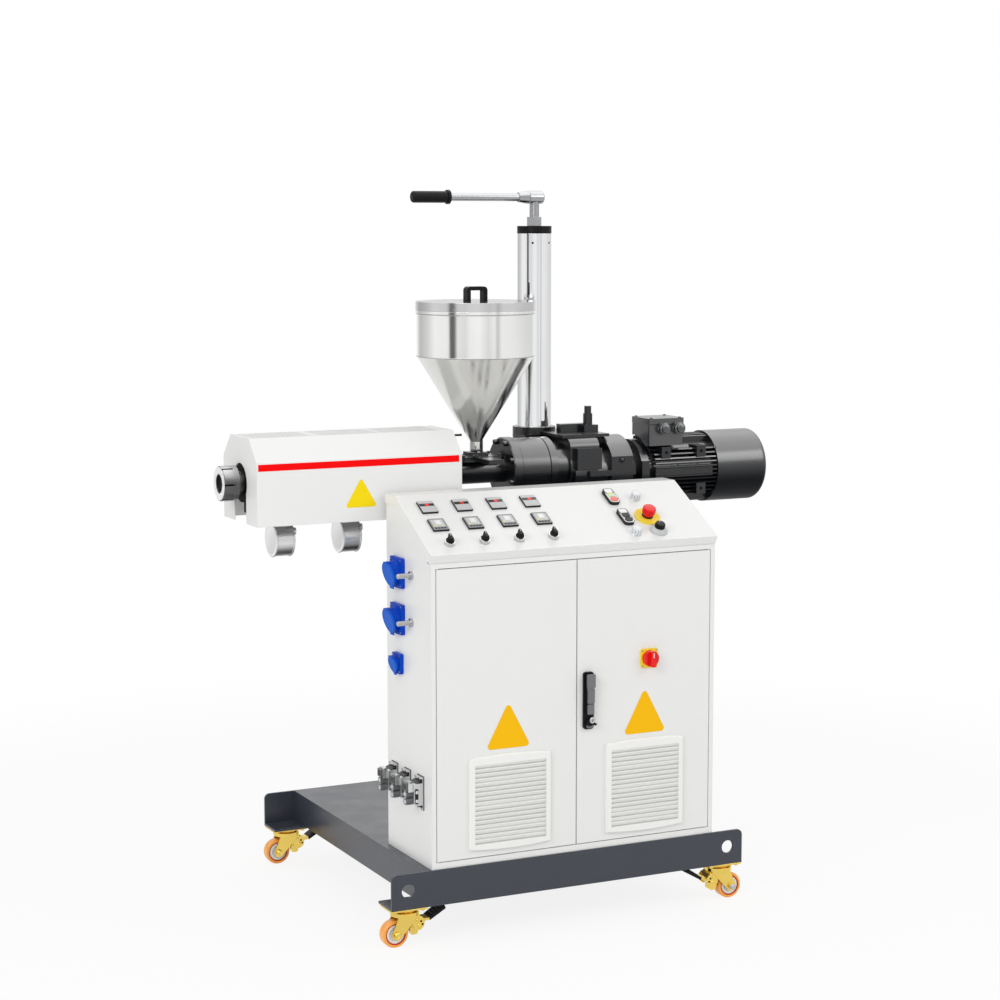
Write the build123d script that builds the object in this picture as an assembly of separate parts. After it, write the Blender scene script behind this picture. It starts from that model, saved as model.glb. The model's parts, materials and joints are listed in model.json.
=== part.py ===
from build123d import *
from math import cos, sin, radians, sqrt
import os

# A small plastic extruder that stands on casters: base, control cabinet, lifting column and extruder.
# Millimetres. While modelling, x = 0 is the cabinet's left side, y = 0 its front and z = 0 the floor.
# At the end everything moves so that the origin is under the middle of the whole machine.

# Base: two angle rails with a folded deck between them
rail_overhang = 88
rail_height = 90
rail_flange = 84
rail_thickness = 6
rail_corner = 15
rail_hole = 34
rail_hole_inset = 44
rail_hole_drop = 43
base_depth = 900
deck_overhang = 12
deck_sheet = 5

# Casters, with their plates flush with the rail ends
caster_height = 100
caster_trail = 28
caster_plate_length = 98
caster_plate_width = 76
caster_plate_thickness = 4
race_diameter = 72
race_foot_diameter = 62
race_height = 8
crown_diameter = 70
crown_height = 10
swivel_gap = 0.3
wheel_diameter = 68
wheel_width = 27
tread_depth = 8
hub_dish = 5
axle_diameter = 10
axle_head = 16
axle_head_height = 5
fork_thickness = 4
fork_side_gap = 5.5
fork_foot_radius = 13
fork_behind = 19
fork_ahead = 31
brake_clear = 5
brake_length = 31
brake_low = 47
brake_nose = 9
brake_pad_length = 21
brake_pad_low = 27
brake_pad_width = 24
pedal_start = 36
pedal_bend = 60
pedal_reach = 104
pedal_low = 60
pedal_rise = 24
pedal_width = 34
pedal_thickness = 6

# Cabinet
cabinet_width = 800
cabinet_depth = 272
cabinet_setback = 4
cabinet_shift = 10
cabinet_front_height = 760
sheet = 2
frame_side = 12
frame_sill = 16
frame_head = 12
frame_depth = 22

# Console lid, a folded sheet with a sloped face and a flat strip behind it
lid_slope = 29
lid_rim = 24
lid_face_depth = 222
lid_overhang = 8
lid_strip = 58
lid_gap = 1

# Doors
door_gap = 2
door_seam = 3
door_depth = 18
hinge_pin = 5
hinge_inset = 3.5
hinge_pin_reach = 6
grille_width = 225
grille_height = 230
grille_proud = 9
grille_border = 14
grille_bow = 6
grille_slats = 17
slat_open = 0.75
slat_back = 3
slat_front = 7
grille_rise = 20
grille_offset = 12
handle_width = 29
handle_height = 146
handle_depth = 14
handle_inset = 15
handle_rise = 295
lever_width = 19
lever_length = 100
switch_plate = 49
switch_plate_thickness = 4
switch_knob = 41
switch_disc_depth = 14
switch_grip_depth = 24
switch_grip_width = 15
switch_inset = 205
switch_rise = 461.75

# Console controls: instruments are placed from the left side, the rest from the right, rows up the slope
instrument_width = 42
instrument_height = 48
instrument_proud = 5
instrument_edge = 1.5
instrument_columns = 4
instrument_pitch = 95
instrument_left = 63
upper_row = 195
lower_row = 120
selector_row = 44
selector_base = 27
selector_base_height = 9
selector_cap = 20
selector_cap_height = 4
selector_pointer = 7
selector_pointer_height = 11
button_width = 29
button_length = 62
button_height = 9
button_from_right = 220
button_rows = (190, 101)
lamp_diameter = 24
lamp_height = 20
lamp_places = ((152, 182), (220, 36))
stop_plate_diameter = 68
stop_plate_height = 4
stop_neck_diameter = 24
stop_button_diameter = 34
stop_button_height = 15
stop_stand_off = 16
stop_place = (156, 100)
speed_place = (152, 40)

# Left side fittings: sockets lean down, their sizes are flange width, flange height, body radius and reach
socket_flange = 10
socket_lean = 15
socket_lid = 9
socket_lid_edge = 2
socket_hinge = 28
socket_y = 194
large_socket = (72, 76, 30, 31)
small_socket = (51, 51, 20, 21)
large_socket_drops = (45, 162)
small_socket_drop = 275
fitting_y = 116
fitting_diameter = 13
fitting_length = 40
fitting_flange = 22
fitting_foot = 6
fitting_drops = (43, 161)
connector_count = 3
connector_width = 36
connector_height = 83
connector_plate = 4
connector_depth = 27
connector_lip = 11
connector_shoulder = 8
connector_nose = 16
connector_rise = 182
connector_front = 65
connector_pitch = 80
insert_proud = 17
insert_size = 22
insert_pitch = 19
insert_round = 17

# Column and crank
column_x = 558
column_diameter = 93
column_wall = 6
column_height = 1551
column_foot_diameter = 190
column_foot_thickness = 16
cap_diameter = 93
cap_height = 20
nut_diameter = 44
nut_height = 24
shaft_diameter = 26
shaft_free_length = 35
shaft_seat = 18
crank_head_height = 35
crank_head_ahead = 24
crank_head_behind = 20
crank_sleeve_reach = 49
crank_sleeve_diameter = 26
crank_bar_diameter = 21
crank_length = 361
grip_length = 108
grip_diameter = 31
grip_collar_diameter = 38
grip_collar = 7
running_clearance = 0.1
cut_over = 1

# Extruder: its screw axis, and the lengths that follow each other along it
axis_y = 412
axis_below_column_top = 617
motor_drop = 20
cover_end_x = 218
cover_length = 556
cover_width = 246
cover_sheet = 2
cover_below = 99
cover_side_above = 59
cover_top_above = 116
cover_top_flat = 134
cover_slot = 87
cover_hole = 100
nozzle_diameter = 88.5
nozzle_bore = 44
nozzle_length = 43
nozzle_slots = 6
nozzle_slot_width = 5
nozzle_slot_depth = 5
nozzle_slot_length = 27
nozzle_edge = 2
nozzle_reach = 55
barrel_diameter = 60
support_width = 60
support_thickness = 20
blower_width = 86
blower_length = 49
blower_reach = 194
blower_rim = 4
blower_rim_proud = 2
blower_duct = 50
blower_offsets = (105, 286)
blower_knob = 18
blower_knob_length = 8
feed_diameter = 70
feed_length = 172
feed_plate_length = 128
feed_plate_width = 96
feed_plate_thickness = 13
feed_plate_above = 27
feed_plate_corner = 12
feed_pad = 50
feed_pad_height = 9
slide_width = 44
slide_thickness = 11
slide_reach = 128
hopper_from_cover = 97

# Hopper
hopper_diameter = 308
hopper_wall = 2
hopper_neck_diameter = 31
hopper_neck_above = 27
hopper_cone_height = 225
hopper_drum_height = 112
hopper_ring = 3
hopper_ring_height = 7
hopper_lid_height = 23
lid_seat_gap = 0.3
lid_handle_width = 58
lid_handle_height = 38
lid_handle_depth = 26
lid_handle_bar = 10

# Gear unit
gear_flange_radius = 84
gear_flange_length = 28
gear_drum_radius = 80
gear_drum_length = 82
gear_ring_length = 20
gear_groove = 3
gear_neck_radius = 66
gear_neck_length = 40
gear_disc_radius = 73
gear_disc_length = 13
gear_core_radius = 76
gear_box_length = 73
gear_gap_length = 30
gear_box_front = 86
gear_box_above = 98
gear_box_below = 92
gear_face_above = 72
gear_face_below = 16
gear_top_front = 70
gear_top_round = 26
gear_foot_height = 15
gear_foot_length = 65
gear_foot_drop = 4
gear_cover_length = 64
gear_cover_radius = 98
gear_lug = 9
gear_lug_width = 22
coupling_radius = 60
coupling_length = 31

# Motor
motor_flange_radius = 83
motor_flange_length = 22
motor_bell_length = 15
motor_bell_radius = 74
motor_length = 192
motor_core_radius = 79
motor_fin_radius = 94
motor_fin = 3.5
motor_fin_pitch = 11.5
motor_side_fins = 11
motor_top_fins = 7
motor_lug = 18
motor_lug_above = 12
motor_pad_length = 28
motor_pad_height = 30
motor_pad_reach = 90
motor_pad_rise = 51
motor_pad_places = (33, 142)
motor_rib_height = 24
motor_rib_drop = 4
motor_rib_inset = 14
cowl_radius = 97.75
cowl_length = 144
cowl_dome = 16
cowl_slots = 16
cowl_slot_width = 6
cowl_slot_inner = 24
cowl_slot_outer = 76
cowl_slot_depth = 4
terminal_length = 106
terminal_width = 100
terminal_above = 142
terminal_below = 70
terminal_start = 18
terminal_gap = 0.3
gland_diameter = 30
gland_length = 14
gland_pitch = 46
gland_shift = 10
gland_drop = 26

# Carriage that climbs the column
sleeve_wall = 12
sleeve_gap = 0.3
sleeve_clear = 3
sleeve_above = 116
sleeve_below = 95
saddle_thickness = 8
saddle_right = 130
saddle_front = 48
clamp_block = 42
clamp_block_height = 19
clamp_post_diameter = 25
clamp_post_height = 30
clamp_head_diameter = 19
clamp_head_height = 20
clamp_bar_height = 22
clamp_bar_depth = 26
clamp_from_column = 105
clamp_from_axis = 28

# Places worked out from the sizes above
deck_z = caster_height + rail_height
base_mid_x = cabinet_width / 2 - cabinet_shift
deck_width = cabinet_width + 2 * deck_overhang
rail_length = deck_width + 2 * rail_overhang
base_front_y = -cabinet_setback
base_back_y = base_front_y + base_depth
rail_left_x = base_mid_x - rail_length / 2
rail_right_x = base_mid_x + rail_length / 2
column_top = deck_z + column_height
axis_z = column_top - axis_below_column_top
motor_z = axis_z - motor_drop
cover_start_x = cover_end_x - cover_length
gear_x = cover_end_x + feed_length
drum_x = gear_x + gear_flange_length
ring_x = drum_x + gear_drum_length
neck_x = ring_x + gear_ring_length
disc_x = neck_x + gear_neck_length
box_x = disc_x + gear_disc_length
gear_gap_x = box_x + gear_box_length
gear_cover_x = gear_gap_x + gear_gap_length
coupling_x = gear_cover_x + gear_cover_length
motor_flange_x = coupling_x + coupling_length
bell_x = motor_flange_x + motor_flange_length
motor_x = bell_x + motor_bell_length
cowl_x = motor_x + motor_length
sleeve_radius = column_diameter / 2 + sleeve_wall
column_y = axis_y + gear_drum_radius + sleeve_clear + sleeve_radius
hopper_x = cover_end_x + hopper_from_cover
feed_plate_top = axis_z + feed_plate_above + feed_plate_thickness
hopper_neck_z = feed_plate_top + feed_pad_height
hopper_cone_z = hopper_neck_z + hopper_neck_above
hopper_drum_z = hopper_cone_z + hopper_cone_height
hopper_rim_z = hopper_drum_z + hopper_drum_height
frame_top = deck_z + cabinet_front_height
door_bottom = deck_z + frame_sill + door_gap
door_top = frame_top - frame_head - door_gap
door_left_x = frame_side + door_gap
door_right_x = cabinet_width - frame_side - door_gap
door_width = (door_right_x - door_left_x - door_seam) / 2
left_hinge_x = door_left_x + hinge_inset
right_hinge_x = door_right_x - hinge_inset
lid_front_z = frame_top + lid_rim * cos(radians(lid_slope))
lid_back_z = lid_front_z + lid_face_depth * sin(radians(lid_slope)) / cos(radians(lid_slope))
lid_bend_y = lid_face_depth - lid_overhang
lid_back_y = lid_bend_y + lid_strip
caster_names = ("front_left", "front_right", "rear_left", "rear_right")
wheel_z = wheel_diameter / 2
plate_bottom = caster_height - caster_plate_thickness
crown_top = plate_bottom - race_height - swivel_gap
crown_bottom = crown_top - crown_height

nodes = {}


def block(x0, x1, y0, y1, z0, z1):
    middle = ((x0 + x1) / 2, (y0 + y1) / 2, (z0 + z1) / 2)
    return Pos(*middle) * Box(x1 - x0, y1 - y0, z1 - z0)


def rod_x(radius, x0, x1, y, z):
    return Pos((x0 + x1) / 2, y, z) * Rot(0, 90, 0) * Cylinder(radius, x1 - x0)


def rod_y(radius, y0, y1, x, z):
    return Pos(x, (y0 + y1) / 2, z) * Rot(90, 0, 0) * Cylinder(radius, y1 - y0)


def rod_z(radius, z0, z1, x, y):
    return Pos(x, y, (z0 + z1) / 2) * Cylinder(radius, z1 - z0)


def side_profile(points, x0, x1):
    # A closed outline drawn in the y-z plane, drawn out from x0 to x1
    outline = make_face(Polyline(*[(0, y, z) for y, z in points], close=True))
    return Pos(x0, 0, 0) * extrude(outline, x1 - x0, dir=(1, 0, 0))


def group(shapes):
    solids = []
    for shape in shapes:
        solids.extend(shape.solids())
    return Compound(solids)


# Base

def angle_rail(face_y, inward, hole_places):
    # One angle: an upright web with rounded top ends, and a flange at its foot
    web_back = face_y + inward * rail_thickness
    flange_back = face_y + inward * rail_flange
    web = block(rail_left_x, rail_right_x, *sorted((face_y, web_back)), caster_height, deck_z)
    top_ends = web.edges().filter_by(Axis.Y).group_by(Axis.Z)[-1]
    web = fillet(top_ends, rail_corner)
    for x in hole_places:
        web -= rod_y(rail_hole / 2, face_y - rail_flange, face_y + rail_flange, x, deck_z - rail_hole_drop)
    flange_top = caster_height + rail_thickness
    foot = block(rail_left_x, rail_right_x, *sorted((web_back, flange_back)), caster_height, flange_top)
    return web + foot


def base():
    front_holes = (rail_left_x + rail_hole_inset, rail_right_x - rail_hole_inset)
    nodes["front_rail"] = angle_rail(base_front_y, 1, front_holes)
    nodes["rear_rail"] = angle_rail(base_back_y, -1, ())
    deck_front = base_front_y + rail_thickness
    deck_back = base_back_y - rail_thickness
    left = base_mid_x - deck_width / 2
    right = base_mid_x + deck_width / 2
    nodes["deck_plate"] = block(left, right, deck_front, deck_back, deck_z - deck_sheet, deck_z)
    skirt_bottom = caster_height + rail_thickness
    skirts = []
    for x in (left, right - deck_sheet):
        skirts.append(block(x, x + deck_sheet, deck_front, deck_back, skirt_bottom, deck_z - deck_sheet))
    nodes["deck_skirts"] = group(skirts)


# Casters

def caster_place(name):
    # Swivel axis of one caster, and which way its wheel trails
    left = name.endswith("left")
    front = name.startswith("front")
    inset = caster_plate_length / 2
    x = rail_left_x + inset if left else rail_right_x - inset
    y = base_front_y + caster_plate_width / 2 if front else base_back_y - caster_plate_width / 2
    return x, y, -1 if left else 1


def caster_plates():
    # Plate under the rail with the upper half of the ball race
    plates = []
    for name in caster_names:
        x, y, _ = caster_place(name)
        plate = Pos(x, y, plate_bottom + caster_plate_thickness / 2) * Box(
            caster_plate_length, caster_plate_width, caster_plate_thickness)
        plate = fillet(plate.edges().filter_by(Axis.Z), caster_plate_thickness)
        race = Cone(race_foot_diameter / 2, race_diameter / 2, race_height)
        plates.append(plate + Pos(x, y, plate_bottom - race_height / 2) * race)
    nodes["caster_plates"] = group(plates)


def upright_profile(points, x, y, side, width):
    # An outline of distance ahead of the swivel axis and height, drawn out evenly about y
    outline = make_face(Polyline(*[(x - side * ahead, 0, z) for ahead, z in points], close=True))
    return Pos(0, y - width / 2, 0) * extrude(outline, width, dir=(0, 1, 0))


def caster_fork(name):
    # Crown under the race, two legs that narrow to the axle, and the brake with its pedal ahead of them
    x, y, side = caster_place(name)
    axle_x = x + side * caster_trail
    leg_inside = wheel_width / 2 + fork_side_gap
    leg_outside = leg_inside + fork_thickness
    fork = rod_z(crown_diameter / 2, crown_bottom, crown_top, x, y)
    shoulder_x = x - side * (fork_ahead - fork_behind) / 2
    shoulder_z = (crown_bottom + crown_top) / 2
    foot = Pos(axle_x, wheel_z) * Circle(fork_foot_radius)
    shoulder = Pos(shoulder_x, shoulder_z) * Rectangle(fork_behind + fork_ahead, crown_height)
    leg_face = Plane.XZ * make_hull((foot + shoulder).edges())
    leg = extrude(leg_face, fork_thickness, dir=(0, 1, 0))
    fork += Pos(0, y - leg_outside, 0) * leg
    fork += Pos(0, y + leg_inside, 0) * leg
    fork += Pos(shoulder_x, y, shoulder_z) * Box(fork_behind + fork_ahead, 2 * leg_outside, crown_height)
    for lean in (-1, 1):
        outer = y + lean * leg_outside
        head = rod_y(axle_head / 2, *sorted((outer, outer + lean * axle_head_height)), axle_x, wheel_z)
        fork += chamfer(head.edges().filter_by(GeomType.CIRCLE), axle_head_height / 5)
    fork += rod_y(axle_diameter / 2, y - leg_inside, y + leg_inside, axle_x, wheel_z)
    brake_back = wheel_diameter / 2 - caster_trail + brake_clear
    brake_front = brake_back + brake_length
    bracket = [(brake_back, brake_low), (brake_back, crown_bottom), (brake_front - brake_nose, crown_bottom),
               (brake_front, crown_bottom - brake_nose), (brake_front, brake_low + brake_nose / 2),
               (brake_front - brake_nose / 2, brake_low)]
    fork += upright_profile(bracket, x, y, side, 2 * leg_inside)
    pad_front = brake_back + brake_pad_length
    pad = [(brake_back, brake_pad_low + brake_nose), (brake_back, brake_low), (pad_front, brake_low),
           (pad_front, brake_pad_low + brake_nose / 2), (pad_front - brake_nose / 2, brake_pad_low),
           (brake_back + brake_nose / 2, brake_pad_low)]
    fork += upright_profile(pad, x, y, side, brake_pad_width)
    pedal_top = pedal_low + pedal_thickness
    pedal = [(pedal_start, pedal_low), (pedal_bend, pedal_low), (pedal_reach, pedal_low + pedal_rise),
             (pedal_reach - pedal_thickness / 2, pedal_top + pedal_rise),
             (pedal_bend - pedal_thickness / 4, pedal_top), (pedal_start, pedal_top)]
    return fork + upright_profile(pedal, x, y, side, pedal_width)


def caster_wheel(name):
    # Tyre with rounded shoulders, a dished hub and a bore for the axle
    x, y, side = caster_place(name)
    axle_x = x + side * caster_trail
    half = wheel_width / 2
    wheel = rod_y(wheel_diameter / 2, y - half, y + half, axle_x, wheel_z)
    wheel = fillet(wheel.edges().filter_by(GeomType.CIRCLE), tread_depth / 2)
    dish_radius = wheel_diameter / 2 - tread_depth
    boss = half + fork_side_gap - swivel_gap
    for lean in (-1, 1):
        face = y + lean * half
        wheel -= rod_y(dish_radius, *sorted((face, face - lean * hub_dish)), axle_x, wheel_z)
    wheel += rod_y(axle_diameter, y - boss, y + boss, axle_x, wheel_z)
    wheel -= rod_y(axle_diameter / 2 + running_clearance, y - wheel_width, y + wheel_width, axle_x, wheel_z)
    return wheel


def casters():
    caster_plates()
    for name in caster_names:
        nodes["caster_fork_" + name] = caster_fork(name)
        nodes["caster_wheel_" + name] = caster_wheel(name)


# Cabinet

def lid_underside(y):
    # Height of the console sheet's lower face at a given depth
    drop = sheet / cos(radians(lid_slope))
    sloped = lid_front_z + (y + lid_overhang) * sin(radians(lid_slope)) / cos(radians(lid_slope)) - drop
    return min(sloped, lid_back_z - sheet)


def lid_bend_inside():
    # Depth at which the sheet's lower face turns from sloped to flat
    slope = sin(radians(lid_slope)) / cos(radians(lid_slope))
    return lid_bend_y + (sheet / cos(radians(lid_slope)) - sheet) / slope


def wall_outline(front_y):
    bend = lid_bend_inside()
    return [(front_y, deck_z), (cabinet_depth, deck_z), (cabinet_depth, lid_underside(cabinet_depth)),
            (bend, lid_underside(bend)), (front_y, lid_underside(front_y))]


def cabinet_shell():
    outline = wall_outline(frame_depth)
    nodes["left_wall"] = side_profile(outline, 0, sheet)
    nodes["right_wall"] = side_profile(outline, cabinet_width - sheet, cabinet_width)
    inside_left = sheet
    inside_right = cabinet_width - sheet
    nodes["back_wall"] = block(inside_left, inside_right, cabinet_depth - sheet, cabinet_depth,
                               deck_z, lid_underside(cabinet_depth))
    nodes["cabinet_floor"] = block(inside_left, inside_right, frame_depth, cabinet_depth - sheet,
                                   deck_z, deck_z + sheet)
    frame = block(0, cabinet_width, 0, frame_depth, deck_z, frame_top)
    frame -= block(frame_side, cabinet_width - frame_side, -frame_depth, 2 * frame_depth,
                   deck_z + frame_sill, frame_top - frame_head)
    for x in (left_hinge_x, right_hinge_x):
        for z, reach in ((door_bottom, -1), (door_top, 1)):
            end = z + reach * (door_gap + hinge_pin_reach + running_clearance)
            frame -= rod_z(hinge_pin / 2 + running_clearance, *sorted((z, end)), x, hinge_inset)
    nodes["door_frame"] = frame


def console_lid():
    # Folded sheet: front fold, sloped face, flat strip and back fold, with closed ends
    slope = radians(lid_slope)
    fold_y = lid_rim * sin(slope)
    fold_z = lid_rim * cos(slope)
    back_outside = lid_back_y + lid_gap + sheet
    outer = [(-lid_overhang, lid_front_z), (lid_bend_y, lid_back_z), (back_outside, lid_back_z),
             (back_outside, lid_back_z - lid_rim),
             (lid_bend_y + lid_rim * sin(slope / 2) / cos(slope / 2), lid_back_z - lid_rim),
             (-lid_overhang + fold_y, lid_front_z - fold_z)]
    lid = side_profile(outer, -lid_gap - sheet, cabinet_width + lid_gap + sheet)
    front_inside = -lid_overhang + sheet / cos(slope)
    bend = lid_bend_inside()
    back_inside = lid_back_y + lid_gap
    low = lid_front_z - 2 * fold_z
    inner = [(front_inside, lid_underside(front_inside)), (bend, lid_back_z - sheet),
             (back_inside, lid_back_z - sheet), (back_inside, low), (front_inside + fold_y * 2, low)]
    lid -= side_profile(inner, -lid_gap, cabinet_width + lid_gap)
    nodes["console_lid"] = lid


def on_console(x, up):
    # A plane on the console face: x from the left side, up along the slope from its lower edge
    slope = radians(lid_slope)
    origin = (x, -lid_overhang + up * cos(slope), lid_front_z + up * sin(slope))
    return Plane(origin=origin, x_dir=(1, 0, 0), z_dir=(0, -sin(slope), cos(slope)))


def standing(plane, shape, height):
    return plane * Pos(0, 0, height / 2) * shape


def console_controls():
    controllers = []
    selectors = []
    for column in range(instrument_columns):
        x = instrument_left + column * instrument_pitch
        for row in (upper_row, lower_row):
            case = standing(on_console(x, row), Box(instrument_width, instrument_height, instrument_proud),
                            instrument_proud)
            controllers.append(chamfer(case.faces().sort_by(Axis.Z)[-1].edges(), instrument_edge))
        selectors.append(rotary_switch(x, selector_row))
    selectors.append(rotary_switch(*from_right(speed_place)))
    nodes["panel_controllers"] = group(controllers)
    nodes["selector_switches"] = group(selectors)
    buttons = []
    for row in button_rows:
        plane = on_console(cabinet_width - button_from_right, row)
        button = standing(plane, Box(button_width, button_length, button_height), button_height)
        upright = Axis(plane.origin, plane.z_dir)
        buttons.append(fillet(button.edges().filter_by(upright), button_width / 3))
    nodes["push_buttons"] = group(buttons)
    lamps = []
    for place in lamp_places:
        lamp = standing(on_console(*from_right(place)), Cylinder(lamp_diameter / 2, lamp_height), lamp_height)
        lamps.append(fillet(lamp.faces().sort_by(Axis.Z)[-1].edges(), lamp_diameter / 8))
    nodes["pilot_lights"] = group(lamps)
    nodes["emergency_stop"] = emergency_stop()


def from_right(place):
    return cabinet_width - place[0], place[1]


def rotary_switch(x, up):
    # Flat ring, round cap and a raised pointer bar across it
    plane = on_console(x, up)
    base_ring = standing(plane, Cylinder(selector_base / 2, selector_base_height), selector_base_height)
    total = selector_base_height + selector_cap_height
    cap = standing(plane, Cylinder(selector_cap / 2, total), total)
    top = total + selector_pointer_height
    pointer = standing(plane, Box(selector_pointer, selector_cap, top), top)
    return base_ring + cap + pointer


def emergency_stop():
    plane = on_console(*from_right(stop_place))
    stop = standing(plane, Cylinder(stop_plate_diameter / 2, stop_plate_height), stop_plate_height)
    top = stop_stand_off + stop_button_height
    stop += standing(plane, Cylinder(stop_neck_diameter / 2, top), top)
    cap = plane * Pos(0, 0, stop_stand_off + stop_button_height / 2) * Cylinder(
        stop_button_diameter / 2, stop_button_height)
    return stop + fillet(cap.faces().sort_by(Axis.Z)[-1].edges(), stop_button_height / 3)


# Fittings on the cabinet's left side

def socket(z, sizes):
    # Flange on the wall, a round body that leans down, its lid shown shut and the lid's hinge on top
    width, height, radius, reach = sizes
    lean = radians(socket_lean)
    flange = Pos(-socket_flange / 2, socket_y, z) * Box(socket_flange, width, height)
    flange = fillet(flange.edges().filter_by(Axis.X), socket_flange / 2)
    start = z + reach * sin(lean) / 2
    outward = Plane(origin=(0, socket_y, start), x_dir=(0, 1, 0), z_dir=(-cos(lean), 0, -sin(lean)))
    lid_radius = radius + socket_lid_edge
    length = reach / cos(lean)
    body = outward * Pos(0, 0, length / 2) * Cylinder(radius, length)
    lid = outward * Pos(0, 0, length - socket_lid / 2) * Cylinder(lid_radius, socket_lid)
    lid = chamfer(lid.faces().sort_by(Axis.X)[0].edges(), socket_lid_edge)
    lid_top = start - reach * sin(lean) / cos(lean) + lid_radius * cos(lean)
    hinge_half = min(socket_hinge, width) / 2
    hinge_out = reach + lid_radius * sin(lean) - socket_lid_edge
    hinge = block(-hinge_out, 0, socket_y - hinge_half, socket_y + hinge_half, lid_top - socket_lid, lid_top)
    outside = Pos(-height - socket_flange / 2, socket_y, z) * Box(2 * height, 2 * height, 2 * height)
    return flange + ((body + lid + hinge) & outside)


def side_fittings():
    sockets = [socket(frame_top - drop, large_socket) for drop in large_socket_drops]
    sockets.append(socket(frame_top - small_socket_drop, small_socket))
    nodes["blue_sockets"] = group(sockets)
    fittings = []
    for drop in fitting_drops:
        fitting = rod_x(fitting_diameter / 2, -fitting_length, 0, fitting_y, frame_top - drop)
        fitting = chamfer(fitting.faces().sort_by(Axis.X)[0].edges(), fitting_diameter / 6)
        fittings.append(fitting + rod_x(fitting_flange / 2, -fitting_foot, 0, fitting_y, frame_top - drop))
    nodes["pin_fittings"] = group(fittings)
    connectors = []
    for index in range(connector_count):
        connectors.append(connector(connector_front + index * connector_pitch, deck_z + connector_rise))
    nodes["multipole_connectors"] = group(connectors)


def connector(y, z):
    # Wall plate with a lip along its top, a hood with sloped shoulders, and three inserts in its nose
    half = connector_width / 2
    tall = connector_height / 2
    part = block(-connector_plate, 0, y - half, y + half, z - tall, z + tall)
    part += block(-connector_lip, 0, y - half, y + half, z + tall - connector_plate, z + tall)
    hood = make_face(Polyline(
        (0, 0, z - tall + connector_shoulder), (-connector_depth, 0, z - tall + connector_nose),
        (-connector_depth, 0, z + tall - connector_nose), (0, 0, z + tall - connector_shoulder), close=True))
    part += Pos(0, y - half, 0) * extrude(hood, connector_width, dir=(0, 1, 0))
    nose = -connector_depth - insert_proud
    part += block(nose, -connector_depth, y - insert_size / 2, y + insert_size / 2,
                  z + insert_pitch / 2, z + insert_pitch / 2 + insert_pitch)
    for step in (0, 1):
        part += rod_x(insert_round / 2, nose, -connector_depth, y, z - step * insert_pitch)
    return part


# Doors

def door_leaf(x0, x1, hinge_x):
    # Folded tray, open at the back, with a hinge pin at its top and bottom edge
    leaf = block(x0, x1, 0, door_depth, door_bottom, door_top)
    leaf -= block(x0 + sheet, x1 - sheet, sheet, 2 * door_depth, door_bottom + sheet, door_top - sheet)
    for z, reach in ((door_bottom, -1), (door_top, 1)):
        root = z - reach * 2 * hinge_pin
        tip = z + reach * (door_gap + hinge_pin_reach)
        leaf += rod_z(hinge_pin / 2, *sorted((root, tip)), hinge_x, hinge_inset)
    return leaf


def filter_grille(middle_x):
    # Raised frame with bowed top and bottom edges, and slats that lean over each other
    bottom = door_bottom + grille_rise
    top = bottom + grille_height
    left = middle_x - grille_width / 2
    right = middle_x + grille_width / 2
    outline = make_face([
        Line((left, 0, bottom), (left, 0, top)),
        ThreePointArc((left, 0, top), (middle_x, 0, top + grille_bow), (right, 0, top)),
        Line((right, 0, top), (right, 0, bottom)),
        ThreePointArc((right, 0, bottom), (middle_x, 0, bottom - grille_bow), (left, 0, bottom))])
    grille = extrude(outline, grille_proud, dir=(0, -1, 0))
    grille = chamfer(grille.faces().sort_by(Axis.Y)[0].edges(), grille_proud / 3)
    pitch = (grille_height - 2 * grille_border) / grille_slats
    for index in range(grille_slats):
        low = bottom + grille_border + index * pitch
        high = low + pitch * slat_open
        cut = [(-2 * grille_proud, low), (-slat_back, low), (-slat_front, high), (-2 * grille_proud, high)]
        grille -= side_profile(cut, left + grille_border, right - grille_border)
    return grille


def doors():
    seam_left = door_left_x + door_width
    seam_right = door_right_x - door_width
    nodes["left_door"] = door_leaf(door_left_x, seam_left, left_hinge_x)
    nodes["right_door"] = door_leaf(seam_right, door_right_x, right_hinge_x)
    left_middle = door_left_x + door_width / 2 + grille_offset / 2
    right_middle = seam_right + door_width / 2 + grille_offset / 8
    nodes["left_grille"] = filter_grille(left_middle)
    nodes["right_grille"] = filter_grille(right_middle)
    left = seam_right + handle_inset
    low = door_bottom + handle_rise
    handle = block(left, left + handle_width, -handle_depth / 2, 0, low, low + handle_height)
    handle = fillet(handle.edges().filter_by(Axis.Y), handle_width / 4)
    middle = left + handle_width / 2
    lever_low = low + handle_height / 4
    lever = block(middle - lever_width / 2, middle + lever_width / 2, -handle_depth, -handle_depth / 2,
                  lever_low, lever_low + lever_length)
    handle += chamfer(lever.faces().sort_by(Axis.Y)[0].edges(), handle_depth / 5)
    handle += rod_y(handle_width / 3, -handle_depth, 0, middle, low + handle_height / 8)
    nodes["door_handle"] = handle
    x, z = switch_place()
    half = switch_plate / 2
    plate = block(x - half, x + half, -switch_plate_thickness, 0, z - half, z + half)
    nodes["switch_plate"] = fillet(plate.edges().filter_by(Axis.Y), switch_plate / 12)
    knob_back = -switch_plate_thickness - swivel_gap
    knob = rod_y(switch_knob / 2, knob_back - switch_disc_depth, knob_back, x, z)
    bar_front = knob_back - switch_grip_depth
    grip_half = switch_grip_width / 2
    bar = block(x - grip_half, x + grip_half, bar_front, knob_back, z - half, z + half)
    bar &= rod_y(switch_knob / 2, bar_front, knob_back, x, z)
    nodes["switch_knob"] = knob + bar


def switch_place():
    return door_right_x - door_width + switch_inset, door_bottom + switch_rise


# Column and crank

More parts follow.
